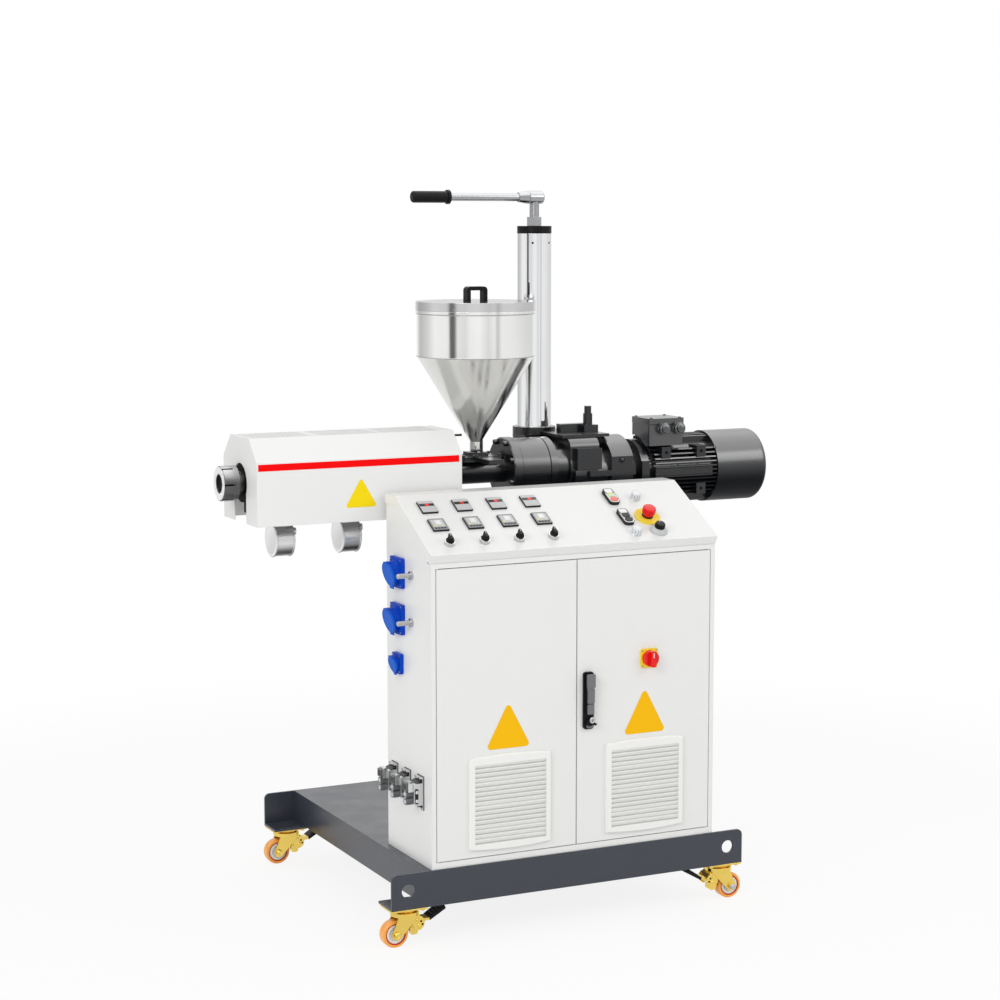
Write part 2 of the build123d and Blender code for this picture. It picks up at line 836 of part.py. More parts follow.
def column():
    radius = column_diameter / 2
    tube = rod_z(radius, deck_z, column_top, column_x, column_y)
    foot_top = deck_z + column_foot_thickness
    tube += rod_z(column_foot_diameter / 2, deck_z, foot_top, column_x, column_y)
    tube -= rod_z(radius - column_wall, foot_top, column_top + cut_over, column_x, column_y)
    nodes["column_tube"] = tube
    cap_top = column_top + cap_height
    nut_top = cap_top + nut_height
    shaft_low = nut_top - shaft_seat
    nodes["column_cap"] = rod_z(cap_diameter / 2, column_top, cap_top, column_x, column_y)
    nut = RegularPolygon(nut_diameter / 2, 6)
    nut = Pos(column_x, column_y, cap_top) * extrude(nut, nut_height)
    bore = shaft_diameter / 2 + running_clearance
    nut -= rod_z(bore, shaft_low - cut_over, nut_top + cut_over, column_x, column_y)
    nodes["column_nut"] = nut
    crank(shaft_low, nut_top + shaft_free_length)


def crank(shaft_low, head_low):
    # Shaft with a tee head, the bar in its tapered sleeve and a grip with a collar
    head_top = head_low + crank_head_height
    bar_z = (head_low + head_top) / 2
    bar_end = column_x - crank_length + grip_length
    radius = crank_head_height / 2
    arm = rod_z(shaft_diameter / 2, shaft_low, bar_z, column_x, column_y)
    head = rod_x(radius, column_x - crank_head_behind, column_x + crank_head_ahead, column_y, bar_z)
    arm += chamfer(head.edges().filter_by(GeomType.CIRCLE), crank_head_height / 12)
    sleeve_length = crank_sleeve_reach - crank_head_behind
    sleeve_middle = column_x - crank_head_behind - sleeve_length / 2
    sleeve = Rot(0, 90, 0) * Cone(crank_sleeve_diameter / 2, radius, sleeve_length)
    arm += Pos(sleeve_middle, column_y, bar_z) * sleeve
    arm += rod_x(crank_bar_diameter / 2, bar_end - crank_bar_diameter, column_x, column_y, bar_z)
    nodes["crank_arm"] = arm
    grip = rod_x(grip_diameter / 2, column_x - crank_length, bar_end, column_y, bar_z)
    grip = fillet(grip.edges().filter_by(GeomType.CIRCLE), grip_diameter / 5)
    grip += rod_x(grip_collar_diameter / 2, bar_end - grip_collar, bar_end, column_y, bar_z)
    grip -= rod_x(crank_bar_diameter / 2, bar_end - crank_bar_diameter, bar_end + cut_over, column_y, bar_z)
    nodes["crank_grip"] = grip


# Extruder

def barrel_group():
    bore_front = cover_start_x - nozzle_reach
    ring_back = bore_front + nozzle_length
    ring = rod_x(nozzle_diameter / 2, bore_front, ring_back, axis_y, axis_z)
    ring = chamfer(ring.edges().filter_by(GeomType.CIRCLE), nozzle_edge)
    slot_end = bore_front + nozzle_slot_length
    slot_low = nozzle_diameter / 2 - nozzle_slot_depth
    slot_top = nozzle_diameter / 2 + nozzle_slot_depth
    slot_half = nozzle_slot_width / 2
    slot = block(bore_front - cut_over, slot_end, -slot_half, slot_half, slot_low, slot_top)
    slot += rod_z(slot_half, slot_low, slot_top, slot_end, 0)
    for index in range(nozzle_slots):
        ring -= Pos(0, axis_y, axis_z) * Rot(360 / nozzle_slots * (index + 0.5), 0, 0) * slot
    ring -= rod_x(nozzle_bore / 2, bore_front - cut_over, ring_back + cut_over, axis_y, axis_z)
    nodes["nozzle_ring"] = ring
    nodes["barrel"] = rod_x(barrel_diameter / 2, ring_back, cover_end_x, axis_y, axis_z)
    support_x = cover_start_x + support_thickness
    support_end = support_x + support_thickness
    support = block(support_x, support_end, axis_y - support_width / 2, axis_y + support_width / 2,
                    axis_z - cover_below + support_thickness, axis_z)
    support -= rod_x(barrel_diameter / 2, support_x - cut_over, support_end + cut_over, axis_y, axis_z)
    nodes["barrel_support"] = support
    blowers = [blower(cover_start_x + offset) for offset in blower_offsets]
    nodes["blowers"] = group(blowers)


def blower(middle_x):
    # Round fan housing that lies along the barrel, with a rim at each end, its duct and the damper knob
    middle_z = axis_z - blower_reach + blower_rim_proud + blower_width / 2
    half = blower_length / 2
    shell = rod_x(blower_width / 2, middle_x - half, middle_x + half, axis_y, middle_z)
    for end in (middle_x - half, middle_x + half - blower_rim):
        rim = rod_x(blower_width / 2 + blower_rim_proud, end, end + blower_rim, axis_y, middle_z)
        shell += chamfer(rim.edges().filter_by(GeomType.CIRCLE), blower_rim / 4)
    side = blower_duct / 2
    duct = block(middle_x - half, middle_x + half, axis_y - side, axis_y + side, middle_z, axis_z)
    duct -= rod_x(barrel_diameter / 2, middle_x - blower_length, middle_x + blower_length, axis_y, axis_z)
    knob_off = blower_width / 4
    knob = rod_x(blower_knob / 2, middle_x, middle_x + half + blower_knob_length, axis_y - knob_off,
                 middle_z + knob_off)
    return shell + duct + knob


def cover_outline(inset):
    # Front to back outline: upright sides, leaning shoulders and a flat top, open below
    half = cover_width / 2 - inset
    flat = cover_top_flat / 2 - inset / 2
    low = axis_z - cover_below
    shoulder = axis_z + cover_side_above - inset / 2
    top = axis_z + cover_top_above - inset
    return [(axis_y - half, low), (axis_y - half, shoulder), (axis_y - flat, top),
            (axis_y + flat, top), (axis_y + half, shoulder), (axis_y + half, low)]


def barrel_cover():
    cover = side_profile(cover_outline(0), cover_start_x, cover_end_x)
    inside = cover_outline(cover_sheet)
    inside[0] = (inside[0][0], inside[0][1] - cover_sheet)
    inside[-1] = (inside[-1][0], inside[-1][1] - cover_sheet)
    cover -= side_profile(inside, cover_start_x + cover_sheet, cover_end_x - cover_sheet)
    ends_low = axis_z - cover_below - cover_sheet
    left_end = cover_start_x - cover_sheet
    inner_end = cover_start_x + 2 * cover_sheet
    cover -= rod_x(cover_hole / 2, left_end, inner_end, axis_y, axis_z)
    cover -= block(left_end, inner_end, axis_y - cover_slot / 2, axis_y + cover_slot / 2, ends_low, axis_z)
    cover -= rod_x(barrel_diameter / 2 + swivel_gap, cover_end_x - 2 * cover_sheet, cover_end_x + cover_sheet,
                   axis_y, axis_z)
    nodes["barrel_cover"] = cover


def feed_group():
    # Housing with a flat on top, the plate on it with the slide that shuts the feed, and the hopper's pad
    slab_low = axis_z + feed_plate_above
    x0 = hopper_x - feed_plate_length / 2
    x1 = hopper_x + feed_plate_length / 2
    housing = rod_x(feed_diameter / 2, cover_end_x, gear_x, axis_y, axis_z)
    half = feed_plate_width / 2
    housing -= block(x0, x1, axis_y - half, axis_y + half, slab_low, axis_z + feed_diameter)
    nodes["feed_housing"] = housing
    plate = block(x0, x1, axis_y - half, axis_y + half, slab_low, feed_plate_top)
    plate = chamfer(plate.edges().filter_by(Axis.Z), feed_plate_corner)
    slide_low = slab_low + (feed_plate_thickness - slide_thickness) / 2
    slide = block(hopper_x - slide_width / 2, hopper_x + slide_width / 2, axis_y - slide_reach, axis_y,
                  slide_low, slide_low + slide_thickness)
    pad_z = feed_plate_top + feed_pad_height / 2
    pad = Pos(hopper_x, axis_y, pad_z) * Box(feed_pad, feed_pad, feed_pad_height)
    nodes["feed_plate"] = plate + slide + pad


def turned(points):
    # A closed outline of radius and height, turned about the hopper's axis
    outline = make_face(Polyline(*[(radius, 0, z) for radius, z in points], close=True))
    return Pos(hopper_x, axis_y, 0) * revolve(outline, Axis.Z)


def hopper():
    outer = hopper_diameter / 2
    neck = hopper_neck_diameter / 2
    wall = hopper_wall
    slant = wall * sqrt((outer - neck) ** 2 + hopper_cone_height ** 2) / hopper_cone_height
    lean = (outer - neck) / hopper_cone_height
    neck_inside_z = hopper_cone_z + (slant - wall) / lean
    nodes["hopper_cone"] = turned([
        (neck, hopper_neck_z), (neck, hopper_cone_z), (outer, hopper_drum_z), (outer - slant, hopper_drum_z),
        (neck - wall, neck_inside_z), (neck - wall, hopper_neck_z)])
    ring_low = hopper_rim_z
    ring_top = hopper_rim_z + hopper_ring_height
    edge = outer + hopper_ring
    nodes["hopper_drum"] = turned([
        (outer, hopper_drum_z), (outer, ring_low), (edge, ring_low), (edge, ring_top),
        (outer - wall, ring_top), (outer - wall, hopper_drum_z)])
    seat = ring_top + lid_seat_gap
    top = seat + hopper_lid_height
    nodes["hopper_lid"] = turned([
        (0, top), (edge, top), (edge, seat), (outer, seat), (outer, top - wall), (0, top - wall)])
    lid_handle(top)


def lid_handle(top):
    # Bow with two feet on the lid
    bow = Pos(hopper_x, axis_y, top + lid_handle_height / 2) * Box(
        lid_handle_width, lid_handle_depth, lid_handle_height)
    bow = fillet(bow.edges().filter_by(Axis.Y).group_by(Axis.Z)[-1], lid_handle_bar)
    hand = lid_handle_width / 2 - lid_handle_bar
    bow -= block(hopper_x - hand, hopper_x + hand, axis_y - lid_handle_depth, axis_y + lid_handle_depth,
                 top - cut_over, top + lid_handle_height - lid_handle_bar)
    nodes["lid_handle"] = bow


# Gear unit and motor

def arch_plate(x0, x1, radius, half, low):
    # Round-topped plate with flat sides, seen along the motor axis
    disc = rod_x(radius, x0, x1, axis_y, motor_z)
    body = disc + block(x0, x1, axis_y - radius, axis_y + radius, motor_z - low, motor_z)
    return body & block(x0, x1, axis_y - half, axis_y + half, motor_z - low, motor_z + radius)


def turned_along(points):
    # A closed outline of x and radius, turned about the screw axis
    outline = make_face(Polyline(*[(x, radius, 0) for x, radius in points], close=True))
    return Pos(0, axis_y, axis_z) * revolve(outline, Axis.X)


def gear_unit():
    # Round adapter with grooved seams, then the casting with its flat front, and the end cover
    groove = gear_drum_radius - gear_groove
    flange_end = drum_x - gear_groove
    drum_end = ring_x - gear_groove
    nodes["gear_flange"] = turned_along([
        (gear_x, 0), (gear_x, gear_flange_radius - gear_groove), (gear_x + gear_groove, gear_flange_radius),
        (flange_end, gear_flange_radius), (flange_end, groove), (drum_x, groove), (drum_x, 0)])
    nodes["gear_drum"] = turned_along([
        (drum_x, 0), (drum_x, gear_drum_radius), (drum_end, gear_drum_radius), (drum_end, groove),
        (ring_x, groove), (ring_x, gear_drum_radius), (neck_x, gear_drum_radius),
        (neck_x, gear_neck_radius), (disc_x, gear_neck_radius), (disc_x, 0)])
    nodes["gear_housing"] = gear_housing()
    cover = arch_plate(gear_cover_x, coupling_x, gear_cover_radius, gear_box_front, gear_box_below)
    lug_low = motor_z - gear_foot_drop
    for lean in (-1, 1):
        sides = sorted((axis_y + lean * gear_box_front, axis_y + lean * (gear_box_front - gear_lug_width)))
        cover += block(coupling_x, coupling_x + gear_lug, *sides, lug_low, lug_low + 2 * gear_foot_height)
    nodes["gear_end_cover"] = cover


def gear_housing():
    back = axis_y + gear_drum_radius
    front = axis_y - gear_box_front
    top = motor_z + gear_box_above
    casting = rod_x(gear_disc_radius, disc_x, box_x, axis_y, axis_z)
    casting += rod_x(gear_core_radius, box_x, gear_cover_x, axis_y, motor_z)
    crown = block(disc_x, gear_gap_x, axis_y - gear_top_front, back, motor_z, top)
    front_edge = crown.edges().filter_by(Axis.X).group_by(Axis.Z)[-1].sort_by(Axis.Y)[0]
    casting += fillet(front_edge, gear_top_round)
    casting += block(box_x, gear_gap_x, front, axis_y, motor_z + gear_face_below, motor_z + gear_face_above)
    foot_low = motor_z - gear_foot_drop
    foot_x = gear_cover_x - gear_foot_length
    casting += block(foot_x, gear_cover_x, front, axis_y, foot_low, foot_low + gear_foot_height)
    casting += block(box_x, gear_cover_x, axis_y - gear_top_front, back, motor_z - gear_box_below, motor_z)
    return casting


def motor():
    coupling = rod_x(coupling_radius, coupling_x, motor_flange_x, axis_y, motor_z)
    flange = rod_x(motor_flange_radius, motor_flange_x, bell_x, axis_y, motor_z)
    reach = motor_flange_radius
    lug_z = motor_z + motor_lug_above
    lug_low = lug_z - motor_lug
    flange += block(motor_flange_x, bell_x, axis_y - reach, axis_y + reach, lug_low, lug_z + motor_lug)
    bell = rod_x(motor_bell_radius, bell_x, motor_x, axis_y, motor_z)
    nodes["motor_flange"] = coupling + flange + bell
    nodes["motor_body"] = finned_body()
    nodes["motor_cowl"] = fan_cowl()
    nodes["terminal_box"] = terminal_box()


def fan_cowl():
    # Drawn cap with a rounded end and a ring of air slots in it
    end = cowl_x + cowl_length + cowl_dome
    cowl = rod_x(cowl_radius, cowl_x, end, axis_y, motor_z)
    cowl = fillet(cowl.faces().sort_by(Axis.X)[-1].edges(), cowl_dome)
    slot = block(end - cowl_slot_depth, end + cut_over, -cowl_slot_width / 2, cowl_slot_width / 2,
                 cowl_slot_inner, cowl_slot_outer)
    for index in range(cowl_slots):
        cowl -= Pos(0, axis_y, motor_z) * Rot(360 / cowl_slots * index, 0, 0) * slot
    return cowl


def finned_body():
    # Round core with flat fins: level ones at the sides, upright ones above and below
    core = rod_x(motor_core_radius, motor_x, cowl_x, axis_y, motor_z)
    shell = rod_x(motor_fin_radius, motor_x, cowl_x, axis_y, motor_z)
    reach = motor_fin_radius
    half = motor_fin / 2
    fins = []
    for index in range(motor_side_fins):
        z = motor_z + (index - (motor_side_fins - 1) / 2) * motor_fin_pitch
        fins.append(block(motor_x, cowl_x, axis_y - reach, axis_y + reach, z - half, z + half))
    for index in range(motor_top_fins):
        y = axis_y + (index - (motor_top_fins - 1) / 2) * motor_fin_pitch
        fins.append(block(motor_x, cowl_x, y - half, y + half, motor_z - reach, motor_z + reach))
    body = core
    for fin in fins:
        body += fin & shell
    pad_half = motor_pad_height / 2
    for place in motor_pad_places:
        x = motor_x + place
        for rise in (-motor_pad_rise, motor_pad_rise):
            z = motor_z + rise
            body += block(x - motor_pad_length / 2, x + motor_pad_length / 2, axis_y - motor_pad_reach,
                          axis_y + motor_pad_reach, z - pad_half, z + pad_half)
    rib_low = motor_z - motor_rib_drop - motor_rib_height / 2
    body += block(motor_x, cowl_x - motor_rib_inset, axis_y - motor_pad_reach, axis_y + motor_pad_reach,
                  rib_low, rib_low + motor_rib_height)
    return body


def terminal_box():
    x0 = motor_x - terminal_start
    x1 = x0 + terminal_length
    front = axis_y - gear_box_front
    low = motor_z + terminal_below
    top = motor_z + terminal_above
    box = block(x0, x1, front, front + terminal_width, low, top)
    box = fillet(box.edges().filter_by(Axis.Z), gland_length / 2)
    box -= rod_x(motor_fin_radius + terminal_gap, x0 - cut_over, x1 + cut_over, axis_y, motor_z)
    for lean in (-1, 1):
        gland_x = (x0 + x1) / 2 + gland_shift + lean * gland_pitch / 2
        box += rod_y(gland_diameter / 2, front - gland_length, front, gland_x, top - gland_drop)
    return box


def carriage():
    # Sleeve round the column, the pad behind the gear unit and the plate over it
    low = motor_z - sleeve_below
    top = motor_z + sleeve_above
    plate_low = motor_z + gear_box_above
    back = axis_y + gear_drum_radius
    body = rod_z(sleeve_radius, low, top, column_x, column_y)
    body += block(column_x - sleeve_radius, column_x + sleeve_radius, back, column_y, low, plate_low)
    body += block(disc_x - gear_disc_length, column_x + saddle_right, axis_y - saddle_front, column_y,
                  plate_low, plate_low + saddle_thickness)
    body -= rod_z(column_diameter / 2 + sleeve_gap, low - cut_over, top + cut_over, column_x, column_y)
    nodes["column_carriage"] = body
    x = column_x + clamp_from_column
    y = axis_y + clamp_from_axis
    half = clamp_block / 2
    block_low = plate_low + saddle_thickness
    post_low = block_low + clamp_block_height
    head_low = post_low + clamp_post_height
    clamp = block(x - half, x + half, y - half, y + half, block_low, post_low)
    bar_x = column_x + column_diameter / 4
    clamp += block(bar_x, x, y, y + clamp_bar_depth, block_low, block_low + clamp_bar_height)
    clamp += rod_z(clamp_post_diameter / 2, post_low, head_low, x, y)
    clamp += rod_z(clamp_head_diameter / 2, head_low, head_low + clamp_head_height, x, y)
    nodes["clamp_screw"] = clamp


base()
casters()
cabinet_shell()
console_lid()
console_controls()
side_fittings()
doors()
column()
barrel_group()
barrel_cover()
feed_group()
hopper()
gear_unit()
motor()
carriage()

# The origin is on the floor, under the middle of the machine's outline
outline_box = group(nodes.values()).bounding_box()
origin_x = (outline_box.min.X + outline_box.max.X) / 2
origin_y = (outline_box.min.Y + outline_box.max.Y) / 2

os.makedirs("parts", exist_ok=True)
for node_name, shape in nodes.items():
    export_step(Pos(-origin_x, -origin_y, 0) * group([shape]), f"parts/{node_name}.step")
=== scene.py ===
import bpy
import bmesh
import json
import math
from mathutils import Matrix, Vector


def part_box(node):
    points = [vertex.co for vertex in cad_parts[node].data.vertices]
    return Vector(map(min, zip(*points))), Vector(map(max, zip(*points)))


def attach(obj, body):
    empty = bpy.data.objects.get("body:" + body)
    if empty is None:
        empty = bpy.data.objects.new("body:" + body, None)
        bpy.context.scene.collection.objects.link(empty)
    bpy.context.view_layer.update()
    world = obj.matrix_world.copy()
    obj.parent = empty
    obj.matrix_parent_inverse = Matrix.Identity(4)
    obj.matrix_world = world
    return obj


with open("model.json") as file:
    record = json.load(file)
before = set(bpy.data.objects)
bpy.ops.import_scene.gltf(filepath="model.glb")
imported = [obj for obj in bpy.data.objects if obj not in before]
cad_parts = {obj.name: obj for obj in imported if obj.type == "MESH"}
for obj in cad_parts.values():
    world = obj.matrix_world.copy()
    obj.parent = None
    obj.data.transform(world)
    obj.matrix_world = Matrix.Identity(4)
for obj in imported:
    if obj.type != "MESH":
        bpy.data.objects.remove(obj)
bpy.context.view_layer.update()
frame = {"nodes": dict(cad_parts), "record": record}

nodes = frame["nodes"]
scene = bpy.context.scene

# cabinet corner: left side, door plane and deck top, the zero of every place below (in millimetres)
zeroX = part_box("left_wall")[0][0]
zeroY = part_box("door_frame")[0][1]
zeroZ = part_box("deck_plate")[1][2]


def at(x, y, z):
    return Vector((zeroX + x / 1000, zeroY + y / 1000, zeroZ + z / 1000))


print("stage: frame loaded,", len(nodes), "nodes")

# camera and studio
studio = {
    "cameraPlace": (-2240.9, -4991.3, 1590.8), "yaw": 26.081, "pitch": 6.899,
    "lens": 82.31, "sensor": 36, "shiftX": -0.00606, "shiftY": -0.00482, "farClip": 100,
    "ambient": 0.70,
    "lamps": {
        "keyLight": {"place": (-4.1, -3.1, 3.1), "target": (0, 0, 0.9), "size": (2.4, 2.0), "power": 84},
        "fillLight": {"place": (3.2, -3.5, 3.2), "target": (0, 0, 0.8), "size": (2.4, 2.0), "power": 44},
        "topLight": {"place": (0.2, 0.4, 4.2), "target": (0, 0, 0.9), "size": (3.0, 3.0), "power": 4},
    },
    # what metal mirrors along the horizon: share of a full turn and grey level
    "mirrorBands": [
        (0.0, 0.97), (0.03, 0.92), (0.042, 0.12), (0.066, 0.14), (0.082, 0.86), (0.125, 0.78), (0.15, 0.95),
        (0.20, 1.0), (0.25, 0.80), (0.285, 0.95), (0.30, 0.60), (0.325, 0.95), (0.40, 0.92), (0.46, 0.84),
        (0.50, 0.80), (0.58, 0.75), (0.64, 1.0), (0.74, 0.95), (0.80, 0.55), (0.88, 0.72), (0.94, 1.0),
        (1.0, 0.95)],
    "bandEnd": (0.3, 0.62), "ceilingStart": (0.35, 0.85), "mirrorRise": 2.3,
    "floorHalf": 4.5, "floorLevel": 0.92, "floorGlow": 0.86, "floorFade": (1.6, 3.2),
}


def buildCamera():
    camera = bpy.data.cameras.new("photoCamera")
    camera.lens = studio["lens"]
    camera.sensor_width = studio["sensor"]
    camera.sensor_fit = "HORIZONTAL"
    camera.shift_x = studio["shiftX"]
    camera.shift_y = studio["shiftY"]
    camera.clip_end = studio["farClip"]
    holder = bpy.data.objects.new("photoCamera", camera)
    scene.collection.objects.link(holder)
    holder.location = at(*studio["cameraPlace"])
    holder.rotation_euler = (math.radians(90 - studio["pitch"]), 0, -math.radians(studio["yaw"]))
    scene.camera = holder


def softBox(name, place, target, size, power):
    lamp = bpy.data.lights.new(name, "AREA")
    lamp.shape = "RECTANGLE"
    lamp.size, lamp.size_y = size
    lamp.energy = power
    holder = bpy.data.objects.new(name, lamp)
    scene.collection.objects.link(holder)
    holder.location = place
    holder.rotation_euler = (Vector(target) - Vector(place)).to_track_quat("-Z", "Y").to_euler()
    holder.visible_camera = False


# small makers for shader nodes
def newNode(tree, kind, **settings):
    node = tree.nodes.new("ShaderNode" + kind)
    for label, value in settings.items():
        setattr(node, label, value)
    return node


def feed(tree, value, socket):
    # a fixed value is set on the socket, and anything else is linked to it
    if isinstance(value, (int, float)):
        socket.default_value = value
    elif isinstance(value, tuple):
        socket.default_value = (*value, 1) if len(socket.default_value) == 4 else value
    else:
        tree.links.new(value, socket)


def mathNode(tree, operation, first, second=0.5, clamp=False):
    node = newNode(tree, "Math", operation=operation, use_clamp=clamp)
    feed(tree, first, node.inputs[0])
    feed(tree, second, node.inputs[1])
    return node.outputs[0]


def vectorNode(tree, operation, first, second=(0, 0, 0)):
    node = newNode(tree, "VectorMath", operation=operation)
    feed(tree, first, node.inputs[0])
    feed(tree, second, node.inputs[1])
    return node.outputs["Value" if operation in ("LENGTH", "DOT_PRODUCT") else "Vector"]


def mapRange(tree, value, fromLow, fromHigh, toLow=0.0, toHigh=1.0, kind="SMOOTHSTEP"):
    node = newNode(tree, "MapRange", interpolation_type=kind)
    for index, part in enumerate((value, fromLow, fromHigh, toLow, toHigh)):
        feed(tree, part, node.inputs[index])
    return node.outputs["Result"]


def rampNode(tree, factor, stops):
    node = newNode(tree, "ValToRGB")
    marks = node.color_ramp.elements
    for mark, (position, colour) in zip(marks, (stops[0], stops[-1])):
        mark.position = position
        mark.color = (*colour, 1)
    for position, colour in stops[1:-1]:
        marks.new(position).color = (*colour, 1)
    feed(tree, factor, node.inputs[0])
    return node.outputs[0]


def mixColour(tree, factor, first, second):
    node = newNode(tree, "Mix", data_type="RGBA")
    for index, value in ((0, factor), (6, first), (7, second)):  # 6 and 7 are the two colours
        feed(tree, value, node.inputs[index])
    return node.outputs[2]


def mixShaders(tree, share, first, second):
    node = newNode(tree, "MixShader")
    for index, value in enumerate((share, first.outputs[0], second.outputs[0])):
        feed(tree, value, node.inputs[index])
    return node


def noiseNode(tree, vector, scale, detail, roughness=0.55):
    node = newNode(tree, "TexNoise")
    settings = {"Vector": vector, "Scale": scale, "Detail": detail, "Roughness": roughness}
    for label, value in settings.items():
        feed(tree, value, node.inputs[label])
    return node.outputs["Fac"]


def coordinates(tree, kind="Object"):
    return newNode(tree, "TexCoord").outputs[kind]


def surface(tree, kind="Normal"):
    return newNode(tree, "NewGeometry").outputs[kind]


def split(tree, vector):
    node = newNode(tree, "SeparateXYZ")
    feed(tree, vector, node.inputs[0])
    return node.outputs


def grey(level):
    return (level, level, level)


def buildWorld():
    world = bpy.data.worlds.new("studioWorld")
    scene.world = world
    world.use_nodes = True
    tree = world.node_tree
    tree.nodes.clear()
    path = newNode(tree, "LightPath").outputs
    seen, lit, mirror = [newNode(tree, "Background") for _ in range(3)]
    feed(tree, grey(1.0), seen.inputs["Color"])
    feed(tree, grey(1.0), lit.inputs["Color"])
    feed(tree, studio["ambient"], lit.inputs["Strength"])
    # polished metal sees white studio walls with a few soft grey gaps between them
    way = split(tree, coordinates(tree, "Generated"))
    turn = mathNode(tree, "ARCTAN2", way["Y"], way["X"])
    share = mapRange(tree, turn, -math.pi, math.pi, kind="LINEAR")
    bands = rampNode(tree, share, [(position, grey(level)) for position, level in studio["mirrorBands"]])
    lifted = mapRange(tree, way["Z"], *studio["bandEnd"])
    feed(tree, mixColour(tree, lifted, bands, grey(1.0)), mirror.inputs["Color"])
    # the ceiling is the brightest part of what glossy paint mirrors
    rise = mapRange(tree, way["Z"], *studio["ceilingStart"], 1.0, studio["mirrorRise"])
    feed(tree, rise, mirror.inputs["Strength"])
    direct = mathNode(tree, "MAXIMUM", path["Is Camera Ray"], path["Is Transmission Ray"], clamp=True)
    shown = mixShaders(tree, direct, lit, seen)
    shown = mixShaders(tree, path["Is Glossy Ray"], shown, mirror)
    feed(tree, shown.outputs[0], newNode(tree, "OutputWorld").inputs["Surface"])


def buildFloor():
    half = studio["floorHalf"]
    mesh = bpy.data.meshes.new("studioFloor")
    corners = [(-half, -half, 0), (half, -half, 0), (half, half, 0), (-half, half, 0)]
    mesh.from_pydata(corners, [], [(0, 1, 2, 3)])
    floor = bpy.data.objects.new("studioFloor", mesh)
    scene.collection.objects.link(floor)
    material = bpy.data.materials.new("paleFloor")
    material.use_nodes = True
    tree = material.node_tree
    tree.nodes.clear()
    matte = newNode(tree, "BsdfDiffuse")
    glow = newNode(tree, "Emission")
    feed(tree, grey(studio["floorLevel"]), matte.inputs["Color"])
    feed(tree, grey(1.0), glow.inputs["Color"])
    path = newNode(tree, "LightPath").outputs
    seen = mathNode(tree, "MAXIMUM", path["Is Camera Ray"], path["Is Glossy Ray"], clamp=True)
    # near the machine the floor takes its shadow, further out it turns into the white backdrop
    away = vectorNode(tree, "LENGTH", coordinates(tree))
    glowShare = mapRange(tree, away, *studio["floorFade"], studio["floorGlow"], 1.0)
    mixed = mixShaders(tree, mathNode(tree, "MULTIPLY", seen, glowShare), matte, glow)
    feed(tree, mixed.outputs[0], newNode(tree, "OutputMaterial").inputs["Surface"])
    mesh.materials.append(material)


buildCamera()
buildWorld()
buildFloor()
for lampName, lampLook in studio["lamps"].items():
    softBox(lampName, **lampLook)
scene.view_settings.view_transform = "Standard"
print("stage: camera and studio")


# shared shader groups: grain of a coat, soft edges, dust and drawn lines
groupLook = {
    "fineDetail": 2.0, "slowDetail": 4.0,
    "bevelSamples": 4, "edgeBend": (0.97, 0.75), "wearDetail": 4.0, "wearPatches": (0.5, 0.66),
    "dustFacing": (0.6, 1.0), "dustScale": 14.0, "dustDetail": 6.0, "dustCloud": (0.35, 0.75),
    "lineDetail": 3.0, "lineRough": 0.7, "toneScale": 9.0, "toneDetail": 5.0,
}


def newGroup(name, inputs, outputs):
    tree = bpy.data.node_groups.new(name, "ShaderNodeTree")
    for label, kind, value in inputs:
        socket = tree.interface.new_socket(label, in_out="INPUT", socket_type="NodeSocket" + kind)
        socket.default_value = value
    for label, kind in outputs:
        tree.interface.new_socket(label, in_out="OUTPUT", socket_type="NodeSocket" + kind)
    return tree, tree.nodes.new("NodeGroupInput").outputs, tree.nodes.new("NodeGroupOutput").inputs


def buildCoatGrain():
    # fine orange peel of a sprayed coat, and slow changes of tone across a panel
    tree, given, result = newGroup("coatGrain", [("Fine", "Float", 900.0), ("Slow", "Float", 3.0)],
                                   [("Height", "Float"), ("Tone", "Float")])
    place = coordinates(tree)
    feed(tree, noiseNode(tree, place, given["Fine"], groupLook["fineDetail"]), result["Height"])
    feed(tree, noiseNode(tree, place, given["Slow"], groupLook["slowDetail"]), result["Tone"])
    return tree


def buildSoftEdge():
    # rounds sharp edges for the light, and finds them for wear
    tree, given, result = newGroup("softEdge", [("Radius", "Float", 0.001), ("Breakup", "Float", 180.0)],
                                   [("Normal", "Vector"), ("Wear", "Float")])
    bevel = newNode(tree, "Bevel", samples=groupLook["bevelSamples"])
    feed(tree, given["Radius"], bevel.inputs["Radius"])
    bend = vectorNode(tree, "DOT_PRODUCT", bevel.outputs[0], surface(tree))
    edge = mapRange(tree, bend, *groupLook["edgeBend"])
    spots = noiseNode(tree, coordinates(tree), given["Breakup"], groupLook["wearDetail"])
    patches = mapRange(tree, spots, *groupLook["wearPatches"])
    feed(tree, mathNode(tree, "MULTIPLY", edge, patches), result["Wear"])
    feed(tree, bevel.outputs[0], result["Normal"])
    return tree


def buildDust():
    # thin dust on faces that look up
    tree, given, result = newGroup("settledDust", [("Amount", "Float", 0.2)], [("Mask", "Float")])
    upward = mapRange(tree, split(tree, surface(tree))["Z"], *groupLook["dustFacing"])
    cloud = noiseNode(tree, coordinates(tree), groupLook["dustScale"], groupLook["dustDetail"])
    cloud = mapRange(tree, cloud, *groupLook["dustCloud"])
    dusty = mathNode(tree, "MULTIPLY", upward, cloud)
    feed(tree, mathNode(tree, "MULTIPLY", dusty, given["Amount"]), result["Mask"])
    return tree


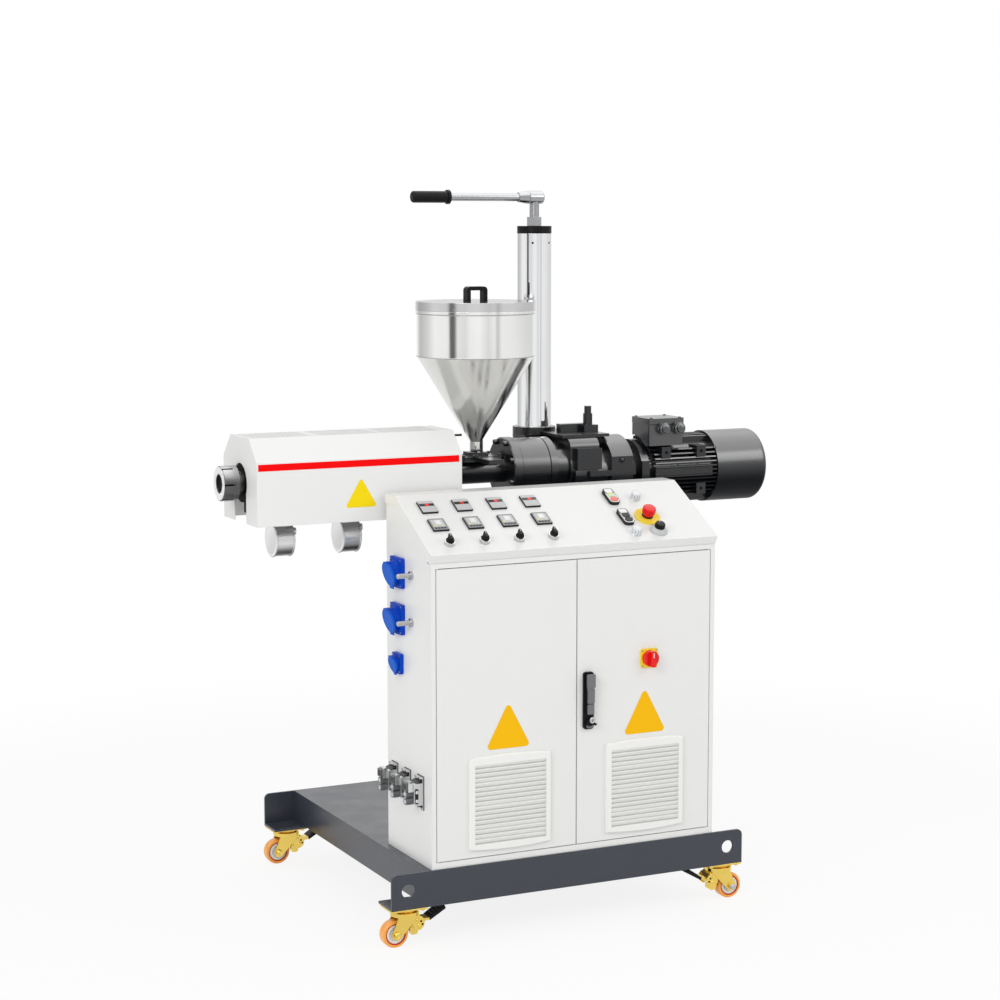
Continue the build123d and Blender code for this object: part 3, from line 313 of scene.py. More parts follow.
def buildBrushing():
    # fine drawn lines, stretched along one direction by the three scales
    tree, given, result = newGroup("brushing", [("Stretch", "Vector", (40.0, 40.0, 900.0))],
                                   [("Height", "Float"), ("Tone", "Float")])
    place = coordinates(tree)
    scaled = vectorNode(tree, "MULTIPLY", place, given["Stretch"])
    lines = noiseNode(tree, scaled, 1.0, groupLook["lineDetail"], groupLook["lineRough"])
    feed(tree, lines, result["Height"])
    patches = noiseNode(tree, place, groupLook["toneScale"], groupLook["toneDetail"])
    feed(tree, patches, result["Tone"])
    return tree


coatGrain = buildCoatGrain()
softEdge = buildSoftEdge()
settledDust = buildDust()
brushing = buildBrushing()
print("stage: shader groups")


def placeGroup(tree, group, **values):
    node = newNode(tree, "Group", node_tree=group)
    for label, value in values.items():
        node.inputs[label].default_value = value
    return node.outputs


# finishes: what a row leaves out comes from the plain values
plainCoat = {
    "rough": 0.36, "roughSpread": (-0.04, 0.05), "fine": 1100.0, "slow": 3.0, "edge": 0.001, "tone": 0.05,
    "wear": 0.2, "wearShade": 1.6, "dust": 0.1, "dustColour": (0.55, 0.53, 0.5), "bump": 0.12,
    "bumpDepth": 0.0004, "specular": 0.5, "coat": 0.0, "coatRough": 0.12, "coatIor": 1.5,
}
plainMetal = {
    "rough": 0.2, "roughShare": (0.75, 1.3), "edge": 0.001, "edgeShade": 1.15,
    "stretch": (300.0, 300.0, 300.0), "tone": 0.06, "bump": 0.04, "bumpDepth": 0.0002,
}
grainSpan = (0.3, 0.7)  # the part of the noise that changes the roughness


def shade(colour, factor):
    return tuple(min(1.0, channel * factor) for channel in colour)


def newMaterial(name):
    material = bpy.data.materials.new(name)
    material.use_nodes = True
    tree = material.node_tree
    return material, tree, tree.nodes["Principled BSDF"].inputs


def addTone(tree, mask, look):
    # the colour a little darker and lighter in slow patches
    colour, tone = look["colour"], look["tone"]
    return mixColour(tree, mask, shade(colour, 1 - tone), shade(colour, 1 + tone))


def addBump(tree, skin, height, normal, look):
    bump = newNode(tree, "Bump")
    settings = {"Strength": look["bump"], "Distance": look["bumpDepth"], "Height": height, "Normal": normal}
    for label, value in settings.items():
        feed(tree, value, bump.inputs[label])
    feed(tree, bump.outputs[0], skin["Normal"])


def coated(name, row):
    # paint, plastic and rubber: a coloured coat with grain, tone, worn edges and dust
    look = {**plainCoat, **row}
    material, tree, skin = newMaterial(name)
    grain = placeGroup(tree, coatGrain, Fine=look["fine"], Slow=look["slow"])
    edge = placeGroup(tree, softEdge, Radius=look["edge"])
    dust = placeGroup(tree, settledDust, Amount=look["dust"])
    base = addTone(tree, grain["Tone"], look)
    if "map" in look:
        base = look["map"](tree, base)
    worn = mathNode(tree, "MULTIPLY", edge["Wear"], look["wear"])
    base = mixColour(tree, worn, base, look.get("wearColour", shade(look["colour"], look["wearShade"])))
    base = mixColour(tree, dust["Mask"], base, look["dustColour"])
    feed(tree, base, skin["Base Color"])
    roughness = [look["rough"] + change for change in look["roughSpread"]]
    feed(tree, mapRange(tree, grain["Tone"], *grainSpan, *roughness), skin["Roughness"])
    addBump(tree, skin, grain["Height"], edge["Normal"], look)
    skin["Specular IOR Level"].default_value = look["specular"]
    skin["Coat Roughness"].default_value = look["coatRough"]
    skin["Coat IOR"].default_value = look["coatIor"]
    if "paintedSheenRise" in look:
        # glossy coat on faces that look up and none on faces that look down: painted sheen above and painted
        # shade below, from Z, to Z of the surface's direction
        feed(tree, mapRange(tree, split(tree, surface(tree))["Z"], *look["paintedSheenRise"]), skin["Coat Weight"])
    else:
        skin["Coat Weight"].default_value = look["coat"]
    return material


def metal(name, row):
    # bare or plated metal with drawn lines and a soft edge
    look = {**plainMetal, **row}
    material, tree, skin = newMaterial(name)
    lines = placeGroup(tree, brushing, Stretch=look["stretch"])
    edge = placeGroup(tree, softEdge, Radius=look["edge"])
    base = addTone(tree, lines["Tone"], look)
    base = mixColour(tree, edge["Wear"], base, shade(look["colour"], look["edgeShade"]))
    if "paintedShadeFacing" in look:
        # painted shade: the colour darker where the surface faces up or down, from Z, to Z, share of the
        # colour
        start, end, share = look["paintedShadeFacing"]
        paintedShade = mapRange(tree, split(tree, surface(tree))["Z"], start, end)
        base = mixColour(tree, paintedShade, base, shade(look["colour"], share))
    feed(tree, base, skin["Base Color"])
    skin["Metallic"].default_value = 1.0
    roughness = [look["rough"] * share for share in look["roughShare"]]
    feed(tree, mapRange(tree, lines["Height"], *grainSpan, *roughness), skin["Roughness"])
    addBump(tree, skin, lines["Height"], edge["Normal"], look)
    return material


coats = {
    "whitePaint": {"colour": (0.8, 0.805, 0.79), "fine": 700.0, "edge": 0.0012, "tone": 0.012, "wear": 0.0,
                   "dust": 0.03, "bump": 0.05, "coat": 0.15},
    "anthracitePaint": {"colour": (0.034, 0.039, 0.053), "rough": 0.3, "fine": 600.0, "edge": 0.0012,
                        "tone": 0.1, "wear": 0.25, "wearColour": (0.2, 0.2, 0.21), "bump": 0.1},
    # black paint: its coat follows the surface's direction, a painted sheen on top and painted shade
    # underneath
    "blackPaint": {"colour": (0.0042, 0.0048, 0.0066), "rough": 0.4, "fine": 520.0, "edge": 0.0016,
                   "tone": 0.2, "wear": 0.35, "wearColour": (0.07, 0.07, 0.075), "dust": 0.04, "bump": 0.1,
                   "specular": 0.08, "paintedSheenRise": (-0.38, 0.47), "coatIor": 1.95, "coatRough": 0.24},
    "boxPaint": {"colour": (0.014, 0.015, 0.018), "rough": 0.4, "fine": 520.0, "edge": 0.0016, "tone": 0.2,
                 "wear": 0.35, "wearColour": (0.09, 0.09, 0.1), "dust": 0.04, "bump": 0.1, "specular": 0.1,
                 "coat": 0.9, "coatIor": 1.95, "coatRough": 0.26},
    "blackPlastic": {"colour": (0.0055, 0.0055, 0.006), "tone": 0.12, "wearColour": (0.05, 0.05, 0.05),
                     "specular": 0.14},
    "handlePlastic": {"colour": (0.13, 0.132, 0.14), "rough": 0.28, "edge": 0.0016, "tone": 0.1,
                      "wear": 0.3, "wearColour": (0.35, 0.35, 0.36), "bump": 0.08, "specular": 0.8},
    "connectorGrey": {"colour": (0.1, 0.102, 0.108), "rough": 0.3, "fine": 900.0, "edge": 0.0014,
                      "tone": 0.2, "wear": 0.6, "wearColour": (0.5, 0.5, 0.5), "bump": 0.1},
    "facePlastic": {"colour": (0.52, 0.525, 0.53), "fine": 1300.0, "edge": 0.0006},
    "greyPlastic": {"colour": (0.24, 0.245, 0.25), "fine": 1300.0, "edge": 0.0006},
    "darkPlastic": {"colour": (0.016, 0.0165, 0.018), "rough": 0.35, "fine": 1300.0, "edge": 0.0006,
                    "tone": 0.1, "specular": 0.2},
    "palePlastic": {"colour": (0.8, 0.805, 0.78), "rough": 0.42, "fine": 900.0, "edge": 0.0008, "tone": 0.02,
                    "dust": 0.05, "bump": 0.03},
    "bluePlastic": {"colour": (0.003, 0.058, 0.5), "rough": 0.4, "tone": 0.08, "wear": 0.15,
                    "wearColour": (0.03, 0.18, 0.7), "specular": 0.1},
    "blueLid": {"colour": (0.012, 0.118, 0.6), "rough": 0.45, "tone": 0.06, "specular": 0.06},
    "yellowPlastic": {"colour": (0.92, 0.7, 0.03), "edge": 0.0008, "tone": 0.04, "specular": 0.25},
    "redPlastic": {"colour": (0.8, 0.004, 0.005), "rough": 0.28, "edge": 0.0012, "tone": 0.06,
                   "specular": 0.3, "coat": 0.12},
    "rosePlastic": {"colour": (0.8, 0.16, 0.13), "rough": 0.32, "edge": 0.0006},
    "greenPlastic": {"colour": (0.56, 0.72, 0.5), "rough": 0.34, "edge": 0.0006},
    "signYellow": {"colour": (0.92, 0.5, 0.002), "rough": 0.5, "fine": 1500.0, "edge": 0.0006, "tone": 0.02,
                   "bump": 0.05, "specular": 0.12},
    "signLemon": {"colour": (0.9, 0.68, 0.004), "rough": 0.5, "fine": 1500.0, "edge": 0.0006, "tone": 0.02,
                  "bump": 0.05, "specular": 0.12},
    "stripeRed": {"colour": (0.92, 0.001, 0.002), "rough": 0.5, "fine": 1500.0, "edge": 0.0004, "tone": 0.02,
                  "bump": 0.05, "specular": 0.08},
    "screenPale": {"colour": (0.8, 0.81, 0.8), "rough": 0.25, "fine": 2000.0, "edge": 0.0003},
    "screenDark": {"colour": (0.012, 0.013, 0.014), "rough": 0.16, "fine": 2000.0, "edge": 0.0003,
                   "tone": 0.1, "specular": 0.3},
    "lampLens": {"colour": (0.7, 0.735, 0.78), "rough": 0.14, "fine": 1500.0, "edge": 0.0012, "tone": 0.1,
                 "coat": 0.6},
    # holeShade: near-black plates and discs standing in for holes, screw sockets, slits and gaps, painted
    # shade
    "holeShade": {"colour": (0.005, 0.005, 0.006), "rough": 0.7, "fine": 600.0, "edge": 0.0003, "tone": 0.1,
             "specular": 0.1},
    "ventShade": {"colour": (0.58, 0.58, 0.57), "rough": 0.6, "fine": 600.0, "edge": 0.0003, "tone": 0.08},
}
# paintedShadeFacing darkens the colour as painted shade: on the tops of chrome and lid steel, and under
# nozzle and blower steel
metals = {
    "chrome": {"colour": (0.84, 0.845, 0.855), "rough": 0.07, "edge": 0.0008, "stretch": (60.0, 60.0, 700.0),
               "paintedShadeFacing": (0.7, 0.95, 0.42)},
    "knobSteel": {"colour": (0.58, 0.58, 0.575), "rough": 0.26, "edge": 0.0006},
    "coneSteel": {"colour": (0.72, 0.72, 0.7), "rough": 0.17, "stretch": (160.0, 160.0, 6.0), "tone": 0.08,
                  "bump": 0.015},
    "armSteel": {"colour": (0.37, 0.372, 0.38), "rough": 0.18, "stretch": (30.0, 90.0, 90.0), "tone": 0.03,
                 "bump": 0.01},
    "lidSteel": {"colour": (0.62, 0.62, 0.62), "rough": 0.16, "stretch": (120.0, 120.0, 300.0), "tone": 0.05,
                 "bump": 0.02, "paintedShadeFacing": (0.7, 0.95, 0.44)},
    "stainless": {"colour": (0.86, 0.858, 0.85), "rough": 0.1, "stretch": (420.0, 420.0, 9.0), "bump": 0.03},
    "zincGold": {"colour": (0.8, 0.58, 0.13), "edge": 0.0009, "stretch": (60.0, 60.0, 60.0), "tone": 0.16,
                 "bump": 0.02},
    "castGrey": {"colour": (0.66, 0.665, 0.67), "rough": 0.34, "edge": 0.0008,
                 "stretch": (260.0, 260.0, 260.0), "bump": 0.1},
    "boltSteel": {"colour": (0.5, 0.5, 0.51), "rough": 0.22, "edge": 0.0005},
    "nozzleSteel": {"colour": (0.36, 0.36, 0.362), "rough": 0.3, "stretch": (700.0, 40.0, 40.0),
                    "tone": 0.12, "paintedShadeFacing": (0.85, 0.0, 0.34)},
    # front ring of the nozzle: the same steel as nozzleSteel made far paler, painted light on the lit front
    # face
    "litNozzleFace": {"colour": (0.92, 0.92, 0.925), "rough": 0.55, "edge": 0.0006,
                   "stretch": (60.0, 200.0, 200.0)},
    "blowerSteel": {"colour": (0.74, 0.74, 0.745), "rough": 0.3, "stretch": (8.0, 500.0, 500.0),
                    "paintedShadeFacing": (-0.05, -0.75, 0.4)},
    "blowerFace": {"colour": (0.95, 0.95, 0.95), "rough": 0.45, "bump": 0.08},
}
skins = {name: coated(name, row) for name, row in coats.items()}
skins.update({name: metal(name, row) for name, row in metals.items()})

# red digits of the temperature displays
digitLook = {"dark": (0.75, 0.01, 0.0), "bright": (0.95, 0.03, 0.01), "glow": 0.8, "rough": 0.4,
             "fine": 2000.0, "slow": 900.0}


def buildDigitLight():
    look = digitLook
    material, tree, skin = newMaterial("digitLight")
    grain = placeGroup(tree, coatGrain, Fine=look["fine"], Slow=look["slow"])
    base = mixColour(tree, grain["Tone"], look["dark"], look["bright"])
    feed(tree, base, skin["Base Color"])
    feed(tree, base, skin["Emission Color"])
    skin["Emission Strength"].default_value = look["glow"]
    skin["Roughness"].default_value = look["rough"]
    return material


# wheels: pale hub, a thin red-orange bond line and the orange tread, by distance from the axle
wheelLook = {
    "hub": (0.76, 0.76, 0.755), "bond": (0.74, 0.07, 0.014), "tread": (0.98, 0.40, 0.05),
    "hubRadius": 0.0235, "bondRadius": 0.0265, "full": 0.034, "hubBlend": 0.01, "treadBlend": 0.04,
    "grainFine": 300.0, "grainSlow": 60.0, "grainSpan": (0.2, 0.8), "grainShare": 0.12,
    "finish": {"colour": (0.8, 0.34, 0.08), "rough": 0.34, "fine": 500.0, "tone": 0.08, "dust": 0.08,
               "wear": 0.0, "coat": 0.3, "bump": 0.03},
}


def buildWheelSkin(node):
    look = wheelLook
    low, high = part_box(node)
    middle = tuple((low[i] + high[i]) / 2 for i in range(3))

    def byRadius(tree, base):
        shifted = vectorNode(tree, "SUBTRACT", coordinates(tree), middle)
        away = vectorNode(tree, "LENGTH", vectorNode(tree, "MULTIPLY", shifted, (1, 0, 1)))
        share = mathNode(tree, "DIVIDE", away, look["full"])
        hubEnd = look["hubRadius"] / look["full"]
        bondEnd = look["bondRadius"] / look["full"]
        rings = rampNode(tree, share, [
            (hubEnd - look["hubBlend"], look["hub"]), (hubEnd, look["bond"]),
            (bondEnd, look["bond"]), (bondEnd + look["treadBlend"], look["tread"])])
        grain = placeGroup(tree, coatGrain, Fine=look["grainFine"], Slow=look["grainSlow"])
        patches = mapRange(tree, grain["Tone"], *look["grainSpan"], 0.0, look["grainShare"])
        return mixColour(tree, patches, rings, base)

    return coated("wheel_" + node, {**look["finish"], "map": byRadius})


# grilles: the deep corner over each slat lies in shade, by height
grilleLook = {
    "base": 0.052, "pitch": 202 / 17000, "shade": (0.62, 0.62, 0.60), "shadeEnd": (0.34, 0.05),
    "deep": (-0.0085, -0.0055), "centres": (0.21225, 0.59525), "half": 0.098,
    "finish": {"colour": (0.85, 0.853, 0.83), "rough": 0.42, "fine": 900.0, "edge": 0.0008, "tone": 0.02,
               "dust": 0.05, "wear": 0.0, "bump": 0.08},
}


def buildGrilleSkin():
    look = grilleLook

    def bySlat(tree, base):
        rise = mathNode(tree, "SUBTRACT", split(tree, coordinates(tree))["Z"], zeroZ + look["base"])
        share = mathNode(tree, "FRACT", mathNode(tree, "DIVIDE", rise, look["pitch"]))
        place = split(tree, surface(tree, "Position"))
        deep = mapRange(tree, place["Y"], *[zeroY + depth for depth in look["deep"]])
        near = [mathNode(tree, "ABSOLUTE", mathNode(tree, "SUBTRACT", place["X"], zeroX + centre))
                for centre in look["centres"]]
        inside = mathNode(tree, "LESS_THAN", mathNode(tree, "MINIMUM", *near), look["half"])
        hidden = mathNode(tree, "MULTIPLY", deep, inside)
        line = mathNode(tree, "MULTIPLY", mapRange(tree, share, *look["shadeEnd"]), hidden)
        return mixColour(tree, line, base, look["shade"])

    return coated("grillePlastic", {**look["finish"], "map": bySlat})


skins["digitLight"] = buildDigitLight()
skins["grillePlastic"] = buildGrilleSkin()

# which finish each CAD piece wears: by its material, unless it has its own
nodeFinish = {
    "white_paint": "whitePaint", "dark_paint": "anthracitePaint", "black_paint": "blackPaint",
    "zinc": "zincGold", "chrome": "chrome", "stainless": "stainless", "cast_grey": "castGrey",
    "black_plastic": "blackPlastic", "grey_plastic": "greyPlastic", "pale_plastic": "palePlastic",
    "blue_plastic": "bluePlastic", "yellow_plastic": "yellowPlastic", "red_plastic": "redPlastic",
    "clear_plastic": "lampLens",
}
ownFinish = {
    "panel_controllers": "darkPlastic", "push_buttons": "darkPlastic",
    "barrel": "nozzleSteel", "nozzle_ring": "nozzleSteel", "barrel_support": "blackPaint",
    "terminal_box": "boxPaint", "blowers": "blowerSteel",
    "crank_arm": "armSteel", "column_nut": "armSteel", "pin_fittings": "boltSteel",
    "hopper_cone": "coneSteel", "hopper_lid": "lidSteel",
    "left_grille": "grillePlastic", "right_grille": "grillePlastic",
}


def dressNodes():
    slots = {entry["node"]: entry["material_slot"] for entry in frame["record"]["subparts"]}
    for name, item in nodes.items():
        if name.startswith("caster_wheel"):
            skin = buildWheelSkin(name)
        else:
            skin = skins[ownFinish.get(name) or nodeFinish[slots[name]]]
        item.data.materials.clear()
        item.data.materials.append(skin)


dressNodes()
print("stage: finishes on", len(nodes), "nodes")


# shapes: small makers that add to one mesh, in millimetres from the cabinet corner
def addRings(shape, rings, paint=0, capped=True):
    rows = [[shape.verts.new(at(*point)) for point in ring] for ring in rings]
    count = len(rows[0])
    faces = []
    for first, second in zip(rows, rows[1:]):
        for index in range(count):
            after = (index + 1) % count
            faces.append((first[index], first[after], second[after], second[index]))
    if capped:
        faces += [list(reversed(rows[0])), rows[-1]]
    for corners in faces:
        shape.faces.new(corners).material_index = paint


def axesFor(direction):
    along = Vector(direction).normalized()
    guide = Vector((0, 0, 1)) if abs(along.z) < 0.9 else Vector((1, 0, 0))
    right = along.cross(guide).normalized()
    return right, right.cross(along).normalized() * -1, along


def addPlate(shape, origin, right, up, outline, depth, paint=0):
    # flat outline drawn in the right/up plane and raised by depth
    right, up = Vector(right), Vector(up)
    out = right.cross(up).normalized()
    low = [Vector(origin) + right * u + up * v for u, v in outline]
    addRings(shape, [low, [point + out * depth for point in low]], paint)


def addFrontPlate(shape, front, outline, depth, paint=0):
    # outline in x and z, raised towards the front of the doors
    addPlate(shape, (0, front, 0), (1, 0, 0), (0, 0, 1), outline, depth, paint)


def addTopPlate(shape, height, outline, depth, paint=0):
    # outline in x and y, raised upwards
    addPlate(shape, (0, 0, height), (1, 0, 0), (0, 1, 0), outline, depth, paint)


def turns(count, offset=0.0):
    # equal steps round a circle
    return [2 * math.pi * (index + offset) / count for index in range(count)]


def turnedRings(centre, direction, profile, steps):
    # profile of (radius, distance along the direction)
    right, up, along = axesFor(direction)
    rings = []
    for radius, distance in profile:
        middle = Vector(centre) + along * distance
        rings.append([middle + right * (radius * math.cos(angle)) + up * (radius * math.sin(angle))
                      for angle in turns(steps)])
    return rings


def addTurned(shape, centre, direction, profile, paint=0, steps=32):
    addRings(shape, turnedRings(centre, direction, profile, steps), paint)


def addHollowTurned(shape, centre, direction, profile, paint=0, steps=32):
    # closed profile that goes round: outside up, inside down
    addRings(shape, turnedRings(centre, direction, profile + profile[:1], steps), paint, capped=False)


def tubeProfile(outer, inner, length):
    return [(outer, 0), (outer, length), (inner, length), (inner, 0)]


def limits(x0, x1, y0, y1):
    return [(x0, y0), (x1, y0), (x1, y1), (x0, y1)]


def rectangle(width, height, middleX=0.0, middleY=0.0):
    return limits(middleX - width / 2, middleX + width / 2, middleY - height / 2, middleY + height / 2)


def addBlock(shape, x0, x1, y0, y1, z0, z1, paint=0):
    ring = limits(x0, x1, y0, y1)
    addRings(shape, [[(x, y, z0) for x, y in ring], [(x, y, z1) for x, y in ring]], paint)


def roundedOutline(points, radius, steps=5):
    # corner points, turned to arcs of one radius
    result = []
    count = len(points)
    for index in range(count):
        here = Vector(points[index])
        before = (Vector(points[index - 1]) - here).normalized()
        after = (Vector(points[(index + 1) % count]) - here).normalized()
        half = before.angle(after) / 2
        reach = radius / math.tan(half)
        middle = here + (before + after).normalized() * (radius / math.sin(half))
        first = here + before * reach - middle
        last = here + after * reach - middle
        turn = first.angle_signed(last)
        start = math.atan2(first.y, first.x)
        for step in range(steps + 1):
            angle = start - turn * step / steps
            result.append((middle.x + radius * math.cos(angle), middle.y + radius * math.sin(angle)))
    return result


def hexagon(radius):
    return [(radius * math.cos(angle), radius * math.sin(angle)) for angle in turns(6)]


def fourCorners(halfWide, halfTall):
    return [(sideways * halfWide, upwards * halfTall) for sideways in (-1, 1) for upwards in (-1, 1)]


# screws and bolts: shares of the head's radius and height, and the socket in millimetres
screwLook = {
    "rimStart": 0.8, "rimRadius": 0.86, "socketRadius": 0.55, "socketLift": 0.02, "socketDepth": 0.12,
    "washerRadius": 1.15, "washerHeight": 0.2, "hexHeight": 0.6, "topStart": 0.7, "topRadii": (0.84, 0.7),
}


def addCapScrew(shape, centre, direction, radius, height, paint=0, holePaint=1):
    # round head with a softened rim, and its hexagon socket as a thin plate of painted shade
    look = screwLook
    right, up, along = axesFor(direction)
    head = [(radius, 0), (radius, height * look["rimStart"]), (radius * look["rimRadius"], height)]
    addTurned(shape, centre, direction, head, paint, steps=20)
    top = Vector(centre) + along * (height + look["socketLift"])
    addPlate(shape, top, right, up, hexagon(radius * look["socketRadius"]), look["socketDepth"], holePaint)


def addHexBolt(shape, centre, direction, radius, height, paint=0):
    # washer face, hexagon and a turned top
    look = screwLook
    right, up, along = axesFor(direction)
    washer, rise = radius * look["washerRadius"], height * look["washerHeight"]
    addTurned(shape, centre, direction, [(washer, 0), (washer, rise)], paint, steps=24)
    start = Vector(centre) + along * rise
    addPlate(shape, start, right, up, hexagon(radius), height * look["hexHeight"], paint)
    foot, top = [radius * share for share in look["topRadii"]]
    addTurned(shape, centre, direction, [(foot, height * look["topStart"]), (top, height)], paint, steps=24)


edgeLook = {"sharpAngle": 32, "bevelAngle": 40, "bevelSegments": 2}


def finishShape(name, shape, paints, body, soften=0.3):
    bmesh.ops.recalc_face_normals(shape, faces=shape.faces)
    mesh = bpy.data.meshes.new(name)
    shape.to_mesh(mesh)
    shape.free()
    for polygon in mesh.polygons:
        polygon.use_smooth = True
    mesh.set_sharp_from_angle(angle=math.radians(edgeLook["sharpAngle"]))
    for paint in paints:
        mesh.materials.append(skins[paint])
    piece = bpy.data.objects.new(name, mesh)
    scene.collection.objects.link(piece)
    if soften:
        rounding = piece.modifiers.new("softEdges", "BEVEL")
        rounding.width = soften / 1000
        rounding.segments = edgeLook["bevelSegments"]
        rounding.limit_method = "ANGLE"
        rounding.angle_limit = math.radians(edgeLook["bevelAngle"])
    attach(piece, body)


# barrel cover: stripe, blank plate and vents
coverLook = {
    "front": 289, "top": 1050,
    "stripe": (-334, 210), "stripeRise": (973, 990), "stripeDepth": 0.5, "sunk": 0.2,
    "plate": [(-105, 870.9), (-18.1, 870.9), (-61.1, 945.6)], "plateCorner": 5, "plateDepth": 0.8,
    "ventStarts": (-322, -140, 30), "ventCount": 14, "ventPitch": 11.2, "ventWidth": 4.2,
    "ventRow": (351, 473), "ventCorner": 2.0, "ventDepth": 0.25,
}


def buildCoverTrim():
    look = coverLook
    front = look["front"]
    shape = bmesh.new()
    addBlock(shape, *look["stripe"], front - look["stripeDepth"], front + look["sunk"], *look["stripeRise"])
    finishShape("coverStripe", shape, ["stripeRed"], "carriage", soften=0.15)
    shape = bmesh.new()
    addFrontPlate(shape, front, roundedOutline(look["plate"], look["plateCorner"]), look["plateDepth"])
    finishShape("coverPlate", shape, ["signLemon"], "carriage", soften=0.2)
    shape = bmesh.new()
    for start in look["ventStarts"]:
        for index in range(look["ventCount"]):
            x = start + index * look["ventPitch"]
            slit = limits(x, x + look["ventWidth"], *look["ventRow"])
            slit = roundedOutline(slit, look["ventCorner"], steps=3)
            addTopPlate(shape, look["top"], slit, look["ventDepth"])
    finishShape("coverVents", shape, ["ventShade"], "carriage", soften=0)


# nozzle and blowers: near-black sheets of painted shade in the gap round the barrel, on the slot floors and
# in the bore, a front ring painted pale as painted light, and the blowers' end faces
barrelLook = {
    "axisY": 412, "axisZ": 934, "collarX": -335, "collar": (49.5, 30.3, 8),
    "slots": 6, "slotFloor": 39.25, "slotStart": -393, "slotLength": 26, "slotWidth": 4.8, "slotDepth": 0.4,
    "frontX": -393.4, "front": (41.6, 25.0, 0.5), "boreX": -388, "bore": [(21.8, 0), (21.8, 0.4)],
    "blowerLeft": (-257.5, -76.5), "blowerRight": (-208.5, -27.5), "blowerZ": 785,
    "leftFace": [(42.5, 0), (42.5, 0.6), (41.0, 1.2), (35.5, 1.2), (33.5, 0.5), (4, 0.5)],
    "rightFace": [(42.5, 0), (42.5, 0.8), (40.5, 1.2)],
}


def buildBarrelTrim():
    look = barrelLook
    y, z = look["axisY"], look["axisZ"]
    shape = bmesh.new()
    addHollowTurned(shape, (look["collarX"], y, z), (1, 0, 0), tubeProfile(*look["collar"]))
    strip = rectangle(look["slotLength"], look["slotWidth"], look["slotLength"] / 2)
    for angle in turns(look["slots"], 0.5):
        out = Vector((0, -math.sin(angle), math.cos(angle)))
        across = out.cross(Vector((1, 0, 0)))
        floor = Vector((look["slotStart"], y, z)) + out * look["slotFloor"]
        addPlate(shape, floor, (1, 0, 0), across, strip, look["slotDepth"])
    addHollowTurned(shape, (look["frontX"], y, z), (1, 0, 0), tubeProfile(*look["front"]), paint=1, steps=48)
    addTurned(shape, (look["boreX"], y, z), (-1, 0, 0), look["bore"], steps=40)
    finishShape("barrelCollar", shape, ["holeShade", "litNozzleFace"], "carriage", soften=0)
    shape = bmesh.new()
    for left, right in zip(look["blowerLeft"], look["blowerRight"]):
        addTurned(shape, (left, y, look["blowerZ"]), (-1, 0, 0), look["leftFace"], steps=48)
        addTurned(shape, (right, y, look["blowerZ"]), (1, 0, 0), look["rightFace"], paint=1, steps=48)
    finishShape("blowerFaces", shape, ["blowerFace", "blackPaint"], "carriage", soften=0)


buildCoverTrim()
buildBarrelTrim()

# doors: blank plates, the handle's lever and lock, switch plate screws and the knob's mark
doorLook = {
    "plates": {"left": (208.5, 340), "right": (596, 340)}, "plate": [(-62, -54), (62, -54), (0, 63)],
    "plateCorner": 8, "plateDepth": 0.8,
    # hood, lever, shutter and foot of the handle: limits in x and z, back and depth
    "handle": [((421, 443, 421, 455), -14, 7), ((423, 442, 380, 418), -14, 4.5),
               ((423, 442, 352, 378), -14, 2.5), ((424, 443, 316, 325), -7, 3)],
    "handleCorner": 2.5, "peak": [(422, 412), (440, 419), (442, 427), (422, 427)], "peakCorner": 2.0,
    "peakBack": -14, "peakDepth": 6.5,
    "lock": (436, -9, 337), "lockProfile": [(8, 0), (8, 9), (7, 10.4), (5.6, 10.4), (5.2, 9.8)],
    "slit": (2.0, 8, 436, 337), "slitBack": -18.8, "slitDepth": 0.4,
    "stub": (441, -14, 328), "stubWay": (0.35, -0.9, -0.2), "stubProfile": [(3.2, 0), (3.2, 8), (2.4, 9)],
    "screwOffset": 20, "screwBack": -4, "screw": (2.2, 0.8),
    "mark": (2.4, 13), "markRise": 10, "markBack": -28.4, "markDepth": 0.35,
}


def spot(node):
    # middle of a CAD piece, in millimetres from the cabinet corner
    low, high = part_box(node)
    zero = (zeroX, zeroY, zeroZ)
    return [((low[i] + high[i]) / 2 - zero[i]) * 1000 for i in range(3)]


def buildHandle():
    look = doorLook
    shape = bmesh.new()
    for part, back, depth in look["handle"]:
        addFrontPlate(shape, back, roundedOutline(limits(*part), look["handleCorner"], steps=4), depth)
    peak = roundedOutline(look["peak"], look["peakCorner"], steps=3)
    addFrontPlate(shape, look["peakBack"], peak, look["peakDepth"])
    addTurned(shape, look["lock"], (0, -1, 0), look["lockProfile"], paint=1, steps=28)
    # the key slit is a thin plate of painted shade
    addFrontPlate(shape, look["slitBack"], rectangle(*look["slit"]), look["slitDepth"], paint=2)
    addTurned(shape, look["stub"], look["stubWay"], look["stubProfile"], paint=3, steps=16)
    paints = ["handlePlastic", "boltSteel", "holeShade", "blackPlastic"]
    finishShape("handleLever", shape, paints, "right_door", soften=0.5)


def buildDoorTrim():
    look = doorLook
    for side, (x, z) in look["plates"].items():
        shape = bmesh.new()
        corners = [(x + sideways, z + rise) for sideways, rise in look["plate"]]
        addFrontPlate(shape, 0, roundedOutline(corners, look["plateCorner"], steps=6), look["plateDepth"])
        finishShape(side + "DoorPlate", shape, ["signYellow"], side + "_door", soften=0.2)
    x, _, z = spot("switch_plate")
    shape = bmesh.new()
    for sideways, rise in fourCorners(look["screwOffset"], look["screwOffset"]):
        addCapScrew(shape, (x + sideways, look["screwBack"], z + rise), (0, -1, 0), *look["screw"])
    finishShape("switchScrews", shape, ["boltSteel", "holeShade"], "right_door", soften=0)
    shape = bmesh.new()
    mark = rectangle(*look["mark"], x, z + look["markRise"])
    addFrontPlate(shape, look["markBack"], mark, look["markDepth"])
    finishShape("switchMark", shape, ["palePlastic"], "main_switch", soften=0.1)


